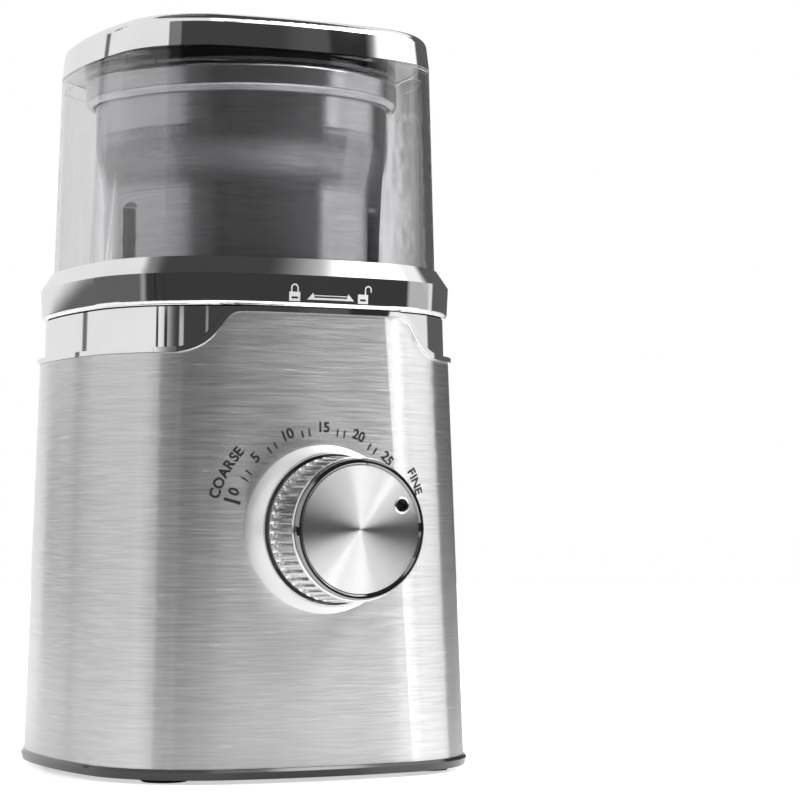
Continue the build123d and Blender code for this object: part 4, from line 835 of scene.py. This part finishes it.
def drawn_in(point):
    """New place of a point of the collar."""
    if not on_band(point):
        return point
    part = 1 - (band_top - point.z) * band_draw / math.hypot(point.x, point.y)
    return Vector((point.x * part, point.y * part, point.z))


def leant(normal, point):
    """Normal there: on the band it leans down a little."""
    if on_band(point) and normal.z < bevel_rise:
        return (normal + Vector((0, 0, -band_draw))).normalized()
    return normal


collar = reshaped("lid_collar", "drawn_collar", drawn_in, leant)
collar.data.materials.clear()
collar.data.materials.append(chrome)
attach(collar, "lid")
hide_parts("lid_collar")


# lock marks, drawn flat in millimetres: a shut and an open padlock, and a double arrow between them
mark_foot = collar_foot / mm + 1.6                 # height of the padlocks' feet
lock_half, lock_height = 1.7, 2.7
slot_half, slot_low, slot_high = 1.0, 0.75, 1.35
bow_half, bow_wire = 1.15, 0.38                    # half the shackle's width, and its wire
bow_steps = 12
arrow_low, arrow_top, arrow_point = mark_foot + 0.6, mark_foot + 1.2, mark_foot + 2.6
rule_low, rule_top = mark_foot + 1.7, mark_foot + 1.95       # thin line above the arrow's shaft
mark_columns = 14


def slab(x_low, x_high, z_low, z_high, columns=1):
    """Upright strip, in columns so that it follows the collar's curve."""
    edges = [x_low + (x_high - x_low) * step / columns for step in range(columns + 1)]
    points = [Vector((x * mm, z * mm, 0)) for z in (z_low, z_high) for x in edges]
    return points, [(step, step + 1, columns + step + 2, columns + step + 1) for step in range(columns)]


def shackle(x, z, leg_left, leg_right):
    """Padlock shackle about (x, z): half a ring of wire on two legs."""
    points = []
    for half in (bow_half, bow_half - bow_wire):
        bend = [math.pi * step / bow_steps for step in range(bow_steps + 1)]
        bow = [(x + half * math.cos(turn), z + half * math.sin(turn)) for turn in bend]
        bow = [(x + half, z - leg_right)] + bow + [(x - half, z - leg_left)]
        points += [Vector((px * mm, pz * mm, 0)) for px, pz in bow]
    count = len(bow)
    return points, [(step, step + 1, count + step + 1, count + step) for step in range(count - 1)]


def padlock(x, bow):
    """Padlock seen from the front: a body with a slot, under its shackle."""
    low, high = mark_foot + slot_low, mark_foot + slot_high
    return [slab(x - lock_half, x + lock_half, mark_foot, low),
            slab(x - lock_half, x + lock_half, high, mark_foot + lock_height),
            slab(x - lock_half, x - slot_half, low, high),
            slab(x + slot_half, x + lock_half, low, high), bow]


shut_x, open_x = -8.8, 13.2
lock_marks = padlock(shut_x, shackle(shut_x, mark_foot + 3.9, leg_left=1.2, leg_right=1.2))
lock_marks += padlock(open_x, shackle(open_x + 1.75, mark_foot + 4.2, leg_left=1.5, leg_right=0.7))
lock_marks.append(slab(-2.6, 7.9, arrow_low, arrow_top, mark_columns))
lock_marks.append(slab(-2.7, 8.0, rule_low, rule_top, mark_columns))
for tip, inward in ((-4.9, 1), (10.2, -1)):
    back = tip + 2.3 * inward
    corners = ((tip, arrow_low), (back, arrow_low), (back, arrow_top), (tip + 1.9 * inward, arrow_point))
    lock_marks.append(([Vector((x * mm, z * mm, 0)) for x, z in corners], [(0, 1, 2, 3)]))
silver_ink = moulded("silver_ink", (0.66, 0.66, 0.66), (0.78, 0.78, 0.78), rough=0.45, bump=0.0)
bpy.context.view_layer.update()
print_on(skin_of(collar), "lock_marks", [(mark, 0.0, 0.0, 0.0) for mark in lock_marks], silver_ink, "lid")

# ---------------------------------------------------------------- lid wall, plate and cap
# A clear smoke-tinted wall closed by a chrome cap, and an inner plate of the same plastic with a
# pale silicone ring under it that seals the bowl's rim. The clear plastic has faint flow marks.
smoke_tones = ((0.83, 0.83, 0.84), (0.88, 0.88, 0.89))
smoke_rough = 0.02
smoke, tree, shader = finish_of("smoke_clear", smoke_tones[1], smoke_rough, IOR=1.49, Transmission_Weight=1.0)
noise = add(tree, "ShaderNodeGroup", inputs=(("Clouds", 22.0), ("Grain", 700.0)), node_tree=mottle)
wear(tree, shader, noise.outputs["Cloud"], noise.outputs["Speck"], *smoke_tones, smoke_rough, spread=0.015)
dress(smoke, "lid_shell", "lid_plate")
silicone = moulded("pale_silicone", (0.46, 0.46, 0.46), (0.56, 0.56, 0.56), rough=0.40)
dress(silicone, "lid_seal")
dress(chrome, "lid_cap")
